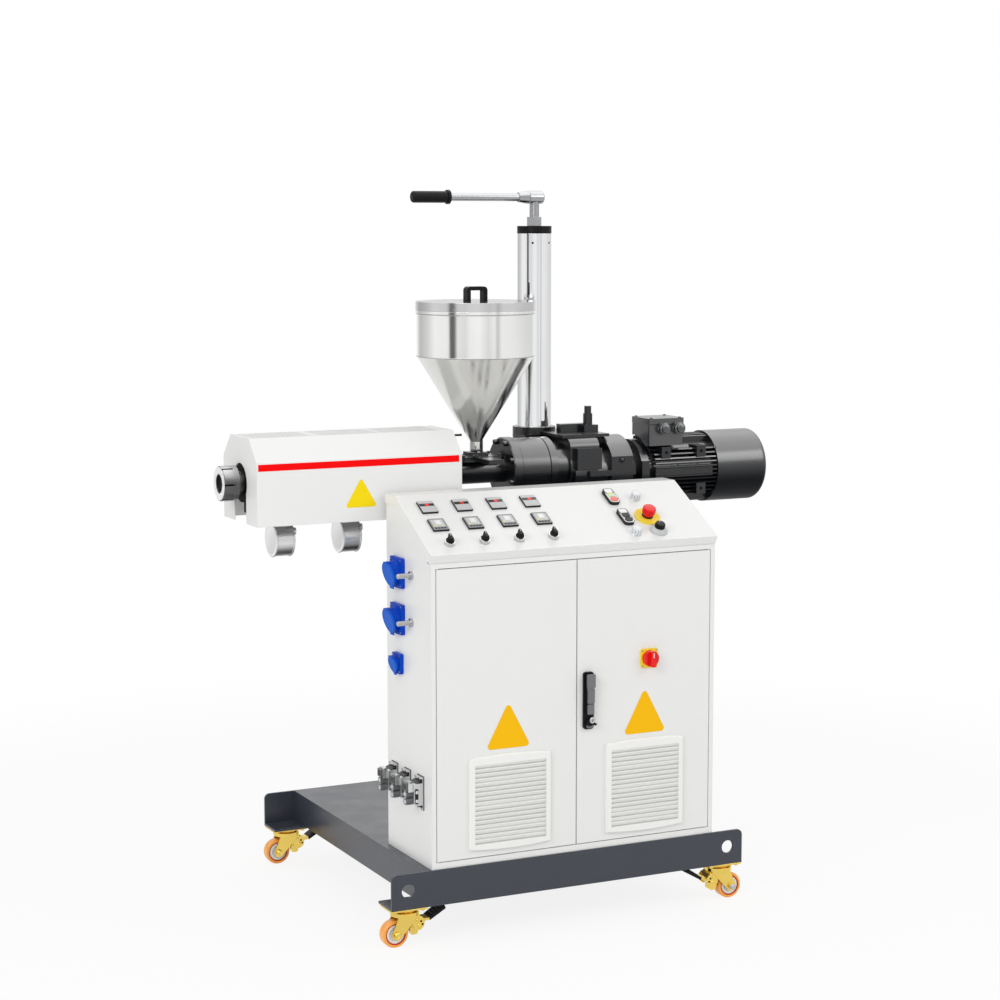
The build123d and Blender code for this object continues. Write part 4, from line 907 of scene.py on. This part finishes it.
buildHandle()
buildDoorTrim()
print("stage: cover and doors")

# console: places on the sloped sheet, as x and distance up the slope
consoleLook = {
    "slope": 29.0, "frontY": -8.0, "frontZ": 780.99,
    "columns": (63, 158, 253, 348), "heaterRow": 195, "driveRow": 120, "knobRow": 44, "speed": (648, 40),
    "buttonX": 580, "buttonRows": (190, 101), "lamps": ((648, 182), (580, 36)), "stop": (644, 100),
}


def onConsole(x, up, lift=0.0):
    slope = math.radians(consoleLook["slope"])
    return Vector((x, consoleLook["frontY"] + up * math.cos(slope) - lift * math.sin(slope),
                   consoleLook["frontZ"] + up * math.sin(slope) + lift * math.cos(slope)))


consoleRight = Vector((1, 0, 0))
consoleUp = (onConsole(0, 1) - onConsole(0, 0)).normalized()
consoleOut = consoleRight.cross(consoleUp)


def addConsolePlate(shape, x, up, outline, base, depth, paint=0):
    addPlate(shape, onConsole(x, up, base), consoleRight, consoleUp, outline, depth, paint)


# instrument faces: sizes are width, height and offset from the middle of the face
faceLook = {
    "base": 5.0, "face": (40, 46), "corner": 1.6, "depth": 0.6, "front": 5.6, "keyRise": -16.5,
    "heaterScreen": (39, 10.5, 0, 6.5), "heaterScreenDepth": 0.25,
    "heaterKeys": (-11, 0, 11), "heaterKey": (7, 3), "heaterKeyDepth": 0.3,
    "numbers": ("182", "175", "190", "168"), "digitStep": 4.2, "digitRise": 6.5, "digitBase": 5.9,
    "digitDepth": 0.12, "digitWide": 2.7, "digitTall": 6.6, "digitBar": 1.3,
    "driveScreen": (33, 29, 0, 3.5), "driveScreenDepth": 0.35,
    "fields": [(15, 17, 1.5, 7), (6, 4.5, -11, -6), (6, 4.0, 10, -6)],
    "fieldBase": 5.95, "fieldDepth": 0.12,
    "driveKeys": (-12.5, -4.2, 4.1, 12.4), "driveKey": (6.4, 4.8), "driveKeyDepth": 0.5, "keyCorner": 1,
}
# bars that each digit lights: a on top, then clockwise to f, and g in the middle
digitBars = {"0": "abcdef", "1": "bc", "2": "abged", "5": "afgcd", "6": "afgedc", "7": "abc",
             "8": "abcdefg", "9": "abcdfg"}


def addDigit(shape, x, up, character, paint):
    look = faceLook
    wide, tall, bar = look["digitWide"], look["digitTall"], look["digitBar"]
    level, upright = (wide, bar), (bar, tall / 2)
    places = {"a": (*level, 0, tall / 2), "g": (*level, 0, 0), "d": (*level, 0, -tall / 2),
              "f": (*upright, -wide / 2, tall / 4), "b": (*upright, wide / 2, tall / 4),
              "e": (*upright, -wide / 2, -tall / 4), "c": (*upright, wide / 2, -tall / 4)}
    for letter in digitBars[character]:
        mark = rectangle(*places[letter])
        addConsolePlate(shape, x, up, mark, look["digitBase"], look["digitDepth"], paint)


def buildHeaterFaces():
    look = faceLook
    up = consoleLook["heaterRow"]
    shape = bmesh.new()
    for x, number in zip(consoleLook["columns"], look["numbers"]):
        face = roundedOutline(rectangle(*look["face"]), look["corner"], steps=3)
        addConsolePlate(shape, x, up, face, look["base"], look["depth"])
        screen = rectangle(*look["heaterScreen"])
        addConsolePlate(shape, x, up, screen, look["front"], look["heaterScreenDepth"], paint=1)
        for index, character in enumerate(number):
            addDigit(shape, x + (index - 1) * look["digitStep"], up + look["digitRise"], character, paint=2)
        for sideways in look["heaterKeys"]:
            key = rectangle(*look["heaterKey"], sideways, look["keyRise"])
            key = roundedOutline(key, look["keyCorner"], steps=3)
            addConsolePlate(shape, x, up, key, look["front"], look["heaterKeyDepth"])
    paints = ["facePlastic", "screenDark", "digitLight"]
    finishShape("heaterFaces", shape, paints, "frame", soften=0.15)


def buildDriveFaces():
    look = faceLook
    up = consoleLook["driveRow"]
    shape = bmesh.new()
    for x in consoleLook["columns"]:
        face = roundedOutline(rectangle(*look["face"]), look["corner"], steps=4)
        addConsolePlate(shape, x, up, face, look["base"], look["depth"])
        screen = roundedOutline(rectangle(*look["driveScreen"]), look["keyCorner"], steps=3)
        addConsolePlate(shape, x, up, screen, look["front"], look["driveScreenDepth"], paint=1)
        for paint, field in enumerate(look["fields"], 2):
            addConsolePlate(shape, x, up, rectangle(*field), look["fieldBase"], look["fieldDepth"], paint)
        for sideways in look["driveKeys"]:
            key = rectangle(*look["driveKey"], sideways, look["keyRise"])
            key = roundedOutline(key, look["keyCorner"], steps=3)
            addConsolePlate(shape, x, up, key, look["front"], look["driveKeyDepth"], paint=5)
    paints = ["greyPlastic", "facePlastic", "screenPale", "yellowPlastic", "greenPlastic", "darkPlastic"]
    finishShape("driveFaces", shape, paints, "frame", soften=0.15)


# selectors and the speed knob: profiles of (radius, height over the sheet)
knobLook = {
    "bezel": [(14.0, 0), (13.9, 8.6), (13.3, 9.6), (12.0, 9.9), (10.4, 9.9), (10.4, 0)],
    "base": [(10.8, 9), (10.8, 12.4), (10.2, 13.2)],
    "foot": [(-4.6, -10.6), (4.6, -10.6), (4.6, 6), (0, 13.2), (-4.6, 6)], "footLift": 12.6,
    "ridge": [(-3.6, -10.2), (3.6, -10.2), (3.6, 10.1), (0, 12.2), (-3.6, 10.1)], "ridgeLift": 24.4,
    "mark": (1.2, 7, 0, 6), "markDepth": 0.15,
    "dome": [(23.5, 0), (23.3, 2.5), (21.6, 6.5), (18.2, 10.2), (14.2, 12), (11, 12), (11, 0)],
    "speed": [(12.8, 10.2), (12.8, 22), (12.0, 23.8), (9, 24.6)],
    "ribs": 18, "ribCircle": 12.7, "rib": [(0.8, 12), (0.8, 21.5)],
    "speedMark": (1.2, 6, 0, 7), "speedMarkDepth": 0.35,
}


def addPointer(shape, x, up):
    # grip that narrows from its foot to its ridge, with a pale mark
    look = knobLook
    rings = []
    for part in ("foot", "ridge"):
        corner = onConsole(x, up, look[part + "Lift"])
        rings.append([corner + consoleRight * u + consoleUp * v for u, v in look[part]])
    addRings(shape, rings)
    addConsolePlate(shape, x, up, rectangle(*look["mark"]), look["ridgeLift"], look["markDepth"], paint=1)


def buildKnobs():
    look = knobLook
    row = consoleLook["knobRow"]
    speedX, speedUp = consoleLook["speed"]
    shape = bmesh.new()
    for x in consoleLook["columns"]:
        addHollowTurned(shape, onConsole(x, row), consoleOut, look["bezel"], steps=36)
    addHollowTurned(shape, onConsole(speedX, speedUp), consoleOut, look["dome"], paint=1, steps=44)
    finishShape("knobBezels", shape, ["knobSteel", "facePlastic"], "frame", soften=0)
    shape = bmesh.new()
    for x in consoleLook["columns"]:
        addTurned(shape, onConsole(x, row), consoleOut, look["base"])
        addPointer(shape, x, row)
    addTurned(shape, onConsole(speedX, speedUp), consoleOut, look["speed"], steps=36)
    circle = look["ribCircle"]
    for angle in turns(look["ribs"]):
        rib = onConsole(speedX + circle * math.cos(angle), speedUp + circle * math.sin(angle))
        addTurned(shape, rib, consoleOut, look["rib"], steps=8)
    mark = rectangle(*look["speedMark"])
    addConsolePlate(shape, speedX, speedUp, mark, look["ridgeLift"], look["speedMarkDepth"], paint=1)
    finishShape("knobPointers", shape, ["blackPlastic", "palePlastic"], "frame", soften=0.3)


# push-buttons, lamps and the stop button
buttonLook = {
    # layers: width, height, rise, corner, corner steps, base, depth, finish in the upper and the lower row
    "layers": [(26.5, 59, 0, 8.5, 6, 8.8, 0.8, (4, 4)), (26.5, 21, 19, 3, 4, 9.3, 0.7, (3, 3)),
               (21.5, 16.5, 19, 2, 4, 9.6, 0.9, (0, 0)), (20.5, 16, 0.5, 4, 5, 9.6, 2.0, (1, 3)),
               (20.5, 16, -18, 6.5, 6, 9.6, 2.6, (2, 3))],
    "tags": ((6, 4.5, -5, 4.5), (6, 4.5, 5, 4.5)), "tagBase": 11.6, "tagDepth": 0.15,
    "collar": [(14.2, 0), (14.2, 1.6), (13.2, 2.8), (12.1, 2.8), (12.1, 0)],
    "flutes": 10, "fluteOffset": 0.3, "fluteCircle": 11.5, "flute": [(0.9, 2.5), (0.9, 14.5), (0.5, 15.5)],
    "lampCap": [(8.6, 19.6), (8.4, 20.4), (7.4, 20.8)],
    "stopNeck": [(14.6, 4), (14.6, 6), (13.6, 7.5)],
    "stopHead": [(12.4, 6), (12.5, 12.5), (14.5, 14.8), (17.4, 15.6), (17.6, 25.5), (17.0, 29), (14.6, 31.3),
                 (9.5, 32.2), (3.5, 32.5)],
}


def buildButtons():
    look = buttonLook
    x = consoleLook["buttonX"]
    rows = consoleLook["buttonRows"]
    shape = bmesh.new()
    for index, row in enumerate(rows):
        for width, height, rise, corner, steps, base, depth, paint in look["layers"]:
            outline = roundedOutline(rectangle(width, height, 0, rise), corner, steps)
            addConsolePlate(shape, x, row, outline, base, depth, paint[index])
    for tag in look["tags"]:
        addConsolePlate(shape, x, rows[0], rectangle(*tag), look["tagBase"], look["tagDepth"], paint=5)
    paints = ["screenPale", "greenPlastic", "rosePlastic", "darkPlastic", "screenPale", "yellowPlastic"]
    finishShape("pushButtonCaps", shape, paints, "frame", soften=0.35)


def buildLamps():
    look = buttonLook
    circle = look["fluteCircle"]
    shape = bmesh.new()
    for x, up in consoleLook["lamps"]:
        addHollowTurned(shape, onConsole(x, up), consoleOut, look["collar"], steps=36)
        for angle in turns(look["flutes"], look["fluteOffset"]):
            flute = onConsole(x + circle * math.cos(angle), up + circle * math.sin(angle))
            addTurned(shape, flute, consoleOut, look["flute"], paint=1, steps=10)
        addTurned(shape, onConsole(x, up), consoleOut, look["lampCap"], paint=2, steps=28)
    finishShape("lampCollars", shape, ["knobSteel", "greyPlastic", "screenPale"], "frame", soften=0)


def buildStopButton():
    middle = onConsole(*consoleLook["stop"])
    shape = bmesh.new()
    addTurned(shape, middle, consoleOut, buttonLook["stopNeck"], paint=1, steps=40)
    addTurned(shape, middle, consoleOut, buttonLook["stopHead"], steps=48)
    finishShape("stopMushroom", shape, ["redPlastic", "blackPlastic"], "frame", soften=0)


buildHeaterFaces()
buildDriveFaces()
buildKnobs()
buildButtons()
buildLamps()
buildStopButton()
print("stage: console")

# left side, sockets: leaning lids with a tab, and four screws each
socketLook = {
    "y": 194, "lean": 15.0,
    # height, flange width and height, radius of the lid and its reach from the wall
    "sockets": ((715, 72, 76, 30, 31), (598, 72, 76, 30, 31), (485, 51, 51, 20, 21)),
    "rim": 2, "lid": [(-0.2, -5), (0.3, -4), (0.3, -1), (-1.4, 0.5), (-5, 0.8), (-6, 0.2), (-9, 0.2)],
    "tabShare": 0.7, "tabHeight": 10, "tabDrop": 1, "tabCorner": 2.5, "tabBack": 4, "tabDepth": 3.2,
    "screwX": -10, "screwInset": 6, "screw": (2.6, 1.4),
}


def buildSocketLids():
    look = socketLook
    y = look["y"]
    lean = math.radians(look["lean"])
    out = Vector((-math.cos(lean), 0, -math.sin(lean)))
    across = Vector((0, -1, 0))
    upward = out.cross(across)
    inset = look["screwInset"]
    shape = bmesh.new()
    for z, width, height, radius, reach in look["sockets"]:
        middle = Vector((-reach, y, z + reach * math.sin(lean) / 2 - reach * math.tan(lean)))
        edge = radius + look["rim"]
        addTurned(shape, middle, out, [(edge + wider, rise) for wider, rise in look["lid"]], steps=44)
        tab = rectangle(radius * look["tabShare"], look["tabHeight"], 0, -edge - look["tabDrop"])
        tab = roundedOutline(tab, look["tabCorner"], steps=4)
        addPlate(shape, middle - out * look["tabBack"], across, upward, tab, look["tabDepth"])
        for sideways, rise in fourCorners(width / 2 - inset, height / 2 - inset):
            screw = (look["screwX"], y + sideways, z + rise)
            addCapScrew(shape, screw, (-1, 0, 0), *look["screw"], paint=1, holePaint=2)
    finishShape("socketLids", shape, ["blueLid", "boltSteel", "holeShade"], "frame", soften=0.25)


# left side, connectors: all places are x from the wall, and y and z from the connector's middle
connectorLook = {
    "y": (65, 145, 225), "z": 182,
    # gasket, insert, cheeks, roof and front of the upper insert: limits and finish
    "blocks": [(-1.6, 0, -19.4, 19.4, -43.0, 43.0, 2), (-44.6, -27.4, -11.6, 11.6, 9.2, 28.8, 1),
               (-40, -27, -13.4, -11.4, 6, 31, 0), (-40, -27, 11.4, 13.4, 6, 31, 0),
               (-37, -27, -13.4, 13.4, 28.6, 31, 0), (-45.2, -43.5, -8.5, 8.5, 12, 26, 2)],
    # dark wedges under the hood's lip and at its foot: painted shade
    "shadeHollows": ([(-4, 36), (-22, 27), (-4, 27)], [(-4, -36.5), (-4, -29), (-18, -29)]), "shadeHollowHalf": 18.3,
    "sleeveX": -27, "sleeveRises": (0, -19),
    "sleeve": [(9.2, 0), (9.2, 12), (8.6, 12.5), (8.6, 16.5), (7.4, 17.4), (5.6, 17.4), (5.2, 16.9)],
    "latchY": 18, "latchX": 20, "latchRise": -5, "latch": (8, 38), "latchCorner": 2.5, "latchDepth": 2.4,
    "pinRises": (-16, 6), "pin": [(4.4, 0), (4.4, 1.6), (3.2, 2.2)],
    "screws": ((-11, -11, 39.5), (-11, 11, 39.5), (-4, -11, -39.5), (-4, 11, -39.5)),
    "screw": [(1.9, 0), (1.9, 0.5), (1.2, 0.6)],
}


def buildConnectorTrim():
    look = connectorLook
    z = look["z"]
    half = look["shadeHollowHalf"]
    shape = bmesh.new()
    for y in look["y"]:
        for x0, x1, y0, y1, z0, z1, paint in look["blocks"]:
            addBlock(shape, x0, x1, y + y0, y + y1, z + z0, z + z1, paint)
        for corners in look["shadeHollows"]:
            ends = [[(x, y + deep, z + rise) for x, rise in corners] for deep in (-half, half)]
            addRings(shape, ends, paint=2)
        for rise in look["sleeveRises"]:
            addTurned(shape, (look["sleeveX"], y, z + rise), (-1, 0, 0), look["sleeve"], paint=1, steps=28)
        for side in (-1, 1):
            face = y + side * look["latchY"]
            latch = rectangle(*look["latch"], side * look["latchX"], look["latchRise"])
            latch = roundedOutline(latch, look["latchCorner"], steps=3)
            addPlate(shape, (0, face, z), (-side, 0, 0), (0, 0, 1), latch, look["latchDepth"], paint=2)
            for rise in look["pinRises"]:
                pin = (-look["latchX"], face + side * look["latchDepth"], z + rise)
                addTurned(shape, pin, (0, side, 0), look["pin"], steps=20)
        for x, sideways, rise in look["screws"]:
            addTurned(shape, (x, y + sideways, z + rise), (-1, 0, 0), look["screw"], paint=2, steps=14)
    paints = ["castGrey", "connectorGrey", "darkPlastic"]
    finishShape("connectorTrim", shape, paints, "frame", soften=0.2)


buildSocketLids()
buildConnectorTrim()
print("stage: left side")

# casters: axle heads, brake plates, hub rings, black pedal caps and the bolts of the top plates
casterLook = {
    "plateInset": 49, "frontY": 34, "rearY": 858, "trail": 28, "axleZ": -156,
    "headOutside": 28, "head": [(8.2, 0), (8.2, 1.0), (7.0, 2.2), (4.6, 2.2), (4.0, 1.4)], "nut": (7.2, 5.5),
    # distance ahead of the swivel axis and height
    "brakePlate": [(16, -144), (12, -128), (20, -114), (38, -116), (47, -126), (44, -142), (34, -150),
                   (24, -150)],
    "brakeHeads": [(26, -124), (31, -138)], "brakeHoles": [(36, -128), (40, -136)],
    "plateInside": 19, "plateDepth": 3.2,
    "brakeHead": [(4.2, 0), (4.2, 2.0), (3.2, 3.0)], "brakeHole": [(2.8, 0), (2.8, 0.3), (2.2, 0.4)],
    "dish": 8.5,
    "ring": [(23.2, 0), (23.2, 3.6), (22.4, 4.2), (17.6, 4.2), (16.4, 3.0), (13.5, 0.8), (13.5, 0)],
    "pedal": [(62, -130.5), (105, -106), (103, -98.6), (97, -98.2), (60, -122.6)], "pedalHalf": 18.5,
    "ribs": (70, 77, 84, 91, 98), "ribLength": 2.5, "ribSlope": 0.655, "ribInset": 3, "ribRise": (-1, 1.8),
    "boltCorners": (38, 28), "boltZ": -94, "bolt": (6, 5),
}


def casterPlaces():
    # name, swivel axis and trail side of each caster
    look = casterLook
    low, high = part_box("front_rail")
    left = (low[0] - zeroX) * 1000 + look["plateInset"]
    right = (high[0] - zeroX) * 1000 - look["plateInset"]
    for row in ("front", "rear"):
        yield row + "_left", left, look[row + "Y"], -1
        yield row + "_right", right, look[row + "Y"], 1


def buildBrakeTrim(name, x, y, side):
    look = casterLook
    shape = bmesh.new()
    for out in (-1, 1):
        head = (x + side * look["trail"], y + out * look["headOutside"], look["axleZ"])
        if side < 0:
            addTurned(shape, head, (0, out, 0), look["head"], steps=28)
        else:
            addHexBolt(shape, head, (0, out, 0), *look["nut"], paint=1)
        inside = y + out * look["plateInside"]
        outside = inside + out * look["plateDepth"]
        addRings(shape, [[(x - side * ahead, face, z) for ahead, z in look["brakePlate"]]
                         for face in (inside, outside)])
        # brake heads, and the brake holes as near-black discs of painted shade
        for kind, paint in (("brakeHead", 0), ("brakeHole", 2)):
            for ahead, z in look[kind + "s"]:
                addTurned(shape, (x - side * ahead, outside, z), (0, out, 0), look[kind], paint, steps=18)
    paints = ["zincGold", "boltSteel", "holeShade"]
    finishShape("brakeTrim_" + name, shape, paints, "caster_" + name, soften=0.3)


def buildHubRing(name, x, y, side):
    look = casterLook
    shape = bmesh.new()
    for out in (-1, 1):
        middle = (x + side * look["trail"], y + out * look["dish"], look["axleZ"])
        addHollowTurned(shape, middle, (0, out, 0), look["ring"], steps=40)
    finishShape("hubRing_" + name, shape, ["palePlastic"], "wheel_" + name, soften=0)


def buildPedalCap(name, x, y, side):
    look = casterLook
    half = look["pedalHalf"]
    shape = bmesh.new()
    addRings(shape, [[(x - side * ahead, y + deep, z) for ahead, z in look["pedal"]]
                     for deep in (-half, half)])
    treadStart, treadZ = look["pedal"][-1]
    low, high = look["ribRise"]
    half -= look["ribInset"]
    for ahead in look["ribs"]:
        z = treadZ + (ahead - treadStart) * look["ribSlope"]
        ends = sorted((x - side * ahead, x - side * (ahead + look["ribLength"])))
        addBlock(shape, *ends, y - half, y + half, z + low, z + high)
    finishShape("pedalCap_" + name, shape, ["blackPlastic"], "caster_" + name, soften=0.8)


def buildCasterBolts():
    look = casterLook
    shape = bmesh.new()
    for _, x, y, _ in casterPlaces():
        for sideways, deep in fourCorners(*look["boltCorners"]):
            addHexBolt(shape, (x + sideways, y + deep, look["boltZ"]), (0, 0, -1), *look["bolt"])
    finishShape("casterBolts", shape, ["zincGold"], "frame", soften=0.3)


for place in casterPlaces():
    buildBrakeTrim(*place)
    buildHubRing(*place)
    buildPedalCap(*place)
buildCasterBolts()
print("stage: casters")

# gear unit and motor: flange bolts, plug, holes in the pads drawn as near-black discs of painted shade, and
# small screws
driveLook = {
    "axisY": 412, "motorZ": 914, "barrelZ": 934,
    "flangeX": 390, "boltCircle": 75, "boltCount": 8, "bolt": (7, 9),
    "plug": (706.5, 326, 951), "plugRing": [(8.5, 0), (8.5, 1.6), (7.6, 2.2), (5.4, 2.2), (5.4, 0)],
    "plugHead": [(5.2, 0), (5.2, 2.8), (4.4, 3.2)],
    "pads": (841, 950), "padRises": (-51, 51), "padReach": 90, "padHole": [(4.6, 0), (4.6, 0.4), (3.6, 0.5)],
    "cowlScrewX": 1000, "cowlReach": 97.15, "cowlAngles": (36, -41, 139, -139), "cowlScrew": (4.2, 2.2),
    "sideScrews": (874, 934), "sideReach": 93.4, "sideRise": 17.2, "sideScrew": (2.4, 2),
}


def buildDriveTrim():
    look = driveLook
    y, z = look["axisY"], look["motorZ"]
    circle = look["boltCircle"]
    shape = bmesh.new()
    for angle in turns(look["boltCount"], 0.5):
        bolt = (look["flangeX"], y + circle * math.cos(angle), look["barrelZ"] + circle * math.sin(angle))
        addCapScrew(shape, bolt, (-1, 0, 0), *look["bolt"])
    addHollowTurned(shape, look["plug"], (0, -1, 0), look["plugRing"], paint=2)
    addTurned(shape, look["plug"], (0, -1, 0), look["plugHead"], steps=6)
    for x in look["pads"]:
        for rise in look["padRises"]:
            for side in (-1, 1):
                pad = (x, y + side * look["padReach"], z + rise)
                addTurned(shape, pad, (0, side, 0), look["padHole"], paint=1, steps=24)
    for degrees in look["cowlAngles"]:
        angle = math.radians(degrees)
        out = Vector((0, -math.cos(angle), math.sin(angle)))
        screw = Vector((look["cowlScrewX"], y, z)) + out * look["cowlReach"]
        addCapScrew(shape, screw, out, *look["cowlScrew"])
    for x in look["sideScrews"]:
        addCapScrew(shape, (x, y - look["sideReach"], z + look["sideRise"]), (0, -1, 0), *look["sideScrew"])
    paints = ["blackPaint", "holeShade", "darkPlastic"]
    finishShape("driveBolts", shape, paints, "carriage", soften=0.3)


# terminal box: lid over a dark seam of painted shade, lid screws and two plugged glands
terminalLook = {
    "middle": (844, 376), "seam": (107.2, 101.2), "seamCorner": 7, "seamZ": 1040.2, "seamDepth": 1.8,
    "lid": (109, 103), "lidCorner": 8, "lidZ": 1042, "lidDepth": 15.5,
    "screwCorners": (44, 41), "screwZ": 1057.5, "screw": (4, 2.2),
    "glandX": (831, 877), "glandY": 326, "glandZ": 1030, "glandNut": [(18.5, 0), (18.5, 5), (17.4, 6)],
    "glandCap": [(16.2, 6), (16.2, 15), (15.2, 16.4), (13.4, 17.2), (11.4, 17.5)],
    "glandPlug": [(12.6, 16), (12.6, 20), (10.8, 23), (6.5, 24.6)],
}


def buildTerminalTrim():
    look = terminalLook
    middleX, middleY = look["middle"]
    shape = bmesh.new()
    for part, paint in (("seam", 1), ("lid", 0)):
        outline = roundedOutline(rectangle(*look[part], middleX, middleY), look[part + "Corner"], steps=5)
        addTopPlate(shape, look[part + "Z"], outline, look[part + "Depth"], paint)
    for sideways, deep in fourCorners(*look["screwCorners"]):
        screw = (middleX + sideways, middleY + deep, look["screwZ"])
        addCapScrew(shape, screw, (0, 0, 1), *look["screw"])
    for x in look["glandX"]:
        for part, steps in (("glandNut", 6), ("glandCap", 24), ("glandPlug", 28)):
            addTurned(shape, (x, look["glandY"], look["glandZ"]), (0, -1, 0), look[part], steps=steps)
    finishShape("terminalLid", shape, ["boxPaint", "holeShade"], "carriage", soften=0.8)


buildDriveTrim()
buildTerminalTrim()
print("stage: drive")

# feed and hopper: slide screw, rods, plate screws and the drum's seams (low edge and how far they stand out)
feedLook = {
    "tBolt": (291.5, 362, 974), "tBoltProfile": [(6.5, 0), (6.5, 5), (4, 6.5), (4, 15)],
    "tBar": (278.5, 362, 992), "tBarProfile": [(2.6, 0), (3.6, 2), (3.6, 24), (2.6, 26)],
    "rod": (219, 430, 1027), "rodProfile": [(3, 0), (3, 63), (2.2, 64)],
    "stay": (333, 412, 974), "stayProfile": [(4.5, 0), (4.5, 9), (2.8, 9.5), (2.8, 54), (2, 56)],
    "plateMiddle": (315, 412, 974), "plateCorners": (53, 36), "plateScrew": (5.2, 5),
    "hopper": (315, 412), "seams": ((1233.4, 1.1), (1343.9, 1.4)), "drumRadius": 154,
    "beadFoot": 0.1, "beadBack": -0.4, "beadRises": (0, 0.6, 1.6, 2.6, 3.2),
}


def buildFeedTrim():
    look = feedLook
    upward, sideways = (0, 0, 1), (1, 0, 0)
    shape = bmesh.new()
    for part, way, steps in (("tBolt", upward, 24), ("tBar", sideways, 20), ("rod", sideways, 18),
                             ("stay", upward, 18)):
        addTurned(shape, look[part], way, look[part + "Profile"], steps=steps)
    x, y, z = look["plateMiddle"]
    for aside, deep in fourCorners(*look["plateCorners"]):
        addCapScrew(shape, (x + aside, y + deep, z), upward, *look["plateScrew"])
    finishShape("feedTrim", shape, ["blackPaint", "holeShade"], "carriage", soften=0.3)
    foot, back = [look["drumRadius"] + look[part] for part in ("beadFoot", "beadBack")]
    start, first, middle, last, end = look["beadRises"]
    shape = bmesh.new()
    for low, proud in look["seams"]:
        edge = look["drumRadius"] + proud
        bead = [(foot, start), (edge, first), (edge, last), (foot, end), (back, middle)]
        addHollowTurned(shape, (*look["hopper"], low), upward, bead, steps=96)
    finishShape("hopperSeams", shape, ["boltSteel"], "carriage", soften=0)


# column: set screws near the top, drawn near-black as painted shade in their holes, and the foot's bolts
columnLook = {
    "middle": (558, 553.5), "setScrewZ": 1526, "setScrewReach": 46.1, "setScrewAngles": (-58, -122),
    "setScrew": [(3.0, 0), (3.0, 0.7), (2.2, 0.8)],
    "footZ": 16, "footCircle": 76, "footBolts": 6, "footBolt": (8.5, 8),
}


def buildColumnTrim():
    look = columnLook
    x, y = look["middle"]
    circle = look["footCircle"]
    shape = bmesh.new()
    for degrees in look["setScrewAngles"]:
        angle = math.radians(degrees)
        out = Vector((math.cos(angle), math.sin(angle), 0))
        screw = Vector((x, y, look["setScrewZ"])) + out * look["setScrewReach"]
        addTurned(shape, screw, out, look["setScrew"], paint=1, steps=18)
    for angle in turns(look["footBolts"], 0.5):
        bolt = (x + circle * math.cos(angle), y + circle * math.sin(angle), look["footZ"])
        addHexBolt(shape, bolt, (0, 0, 1), *look["footBolt"])
    finishShape("columnBolts", shape, ["boltSteel", "holeShade"], "frame", soften=0.3)


buildFeedTrim()
buildColumnTrim()
print("stage: feed, hopper and column")
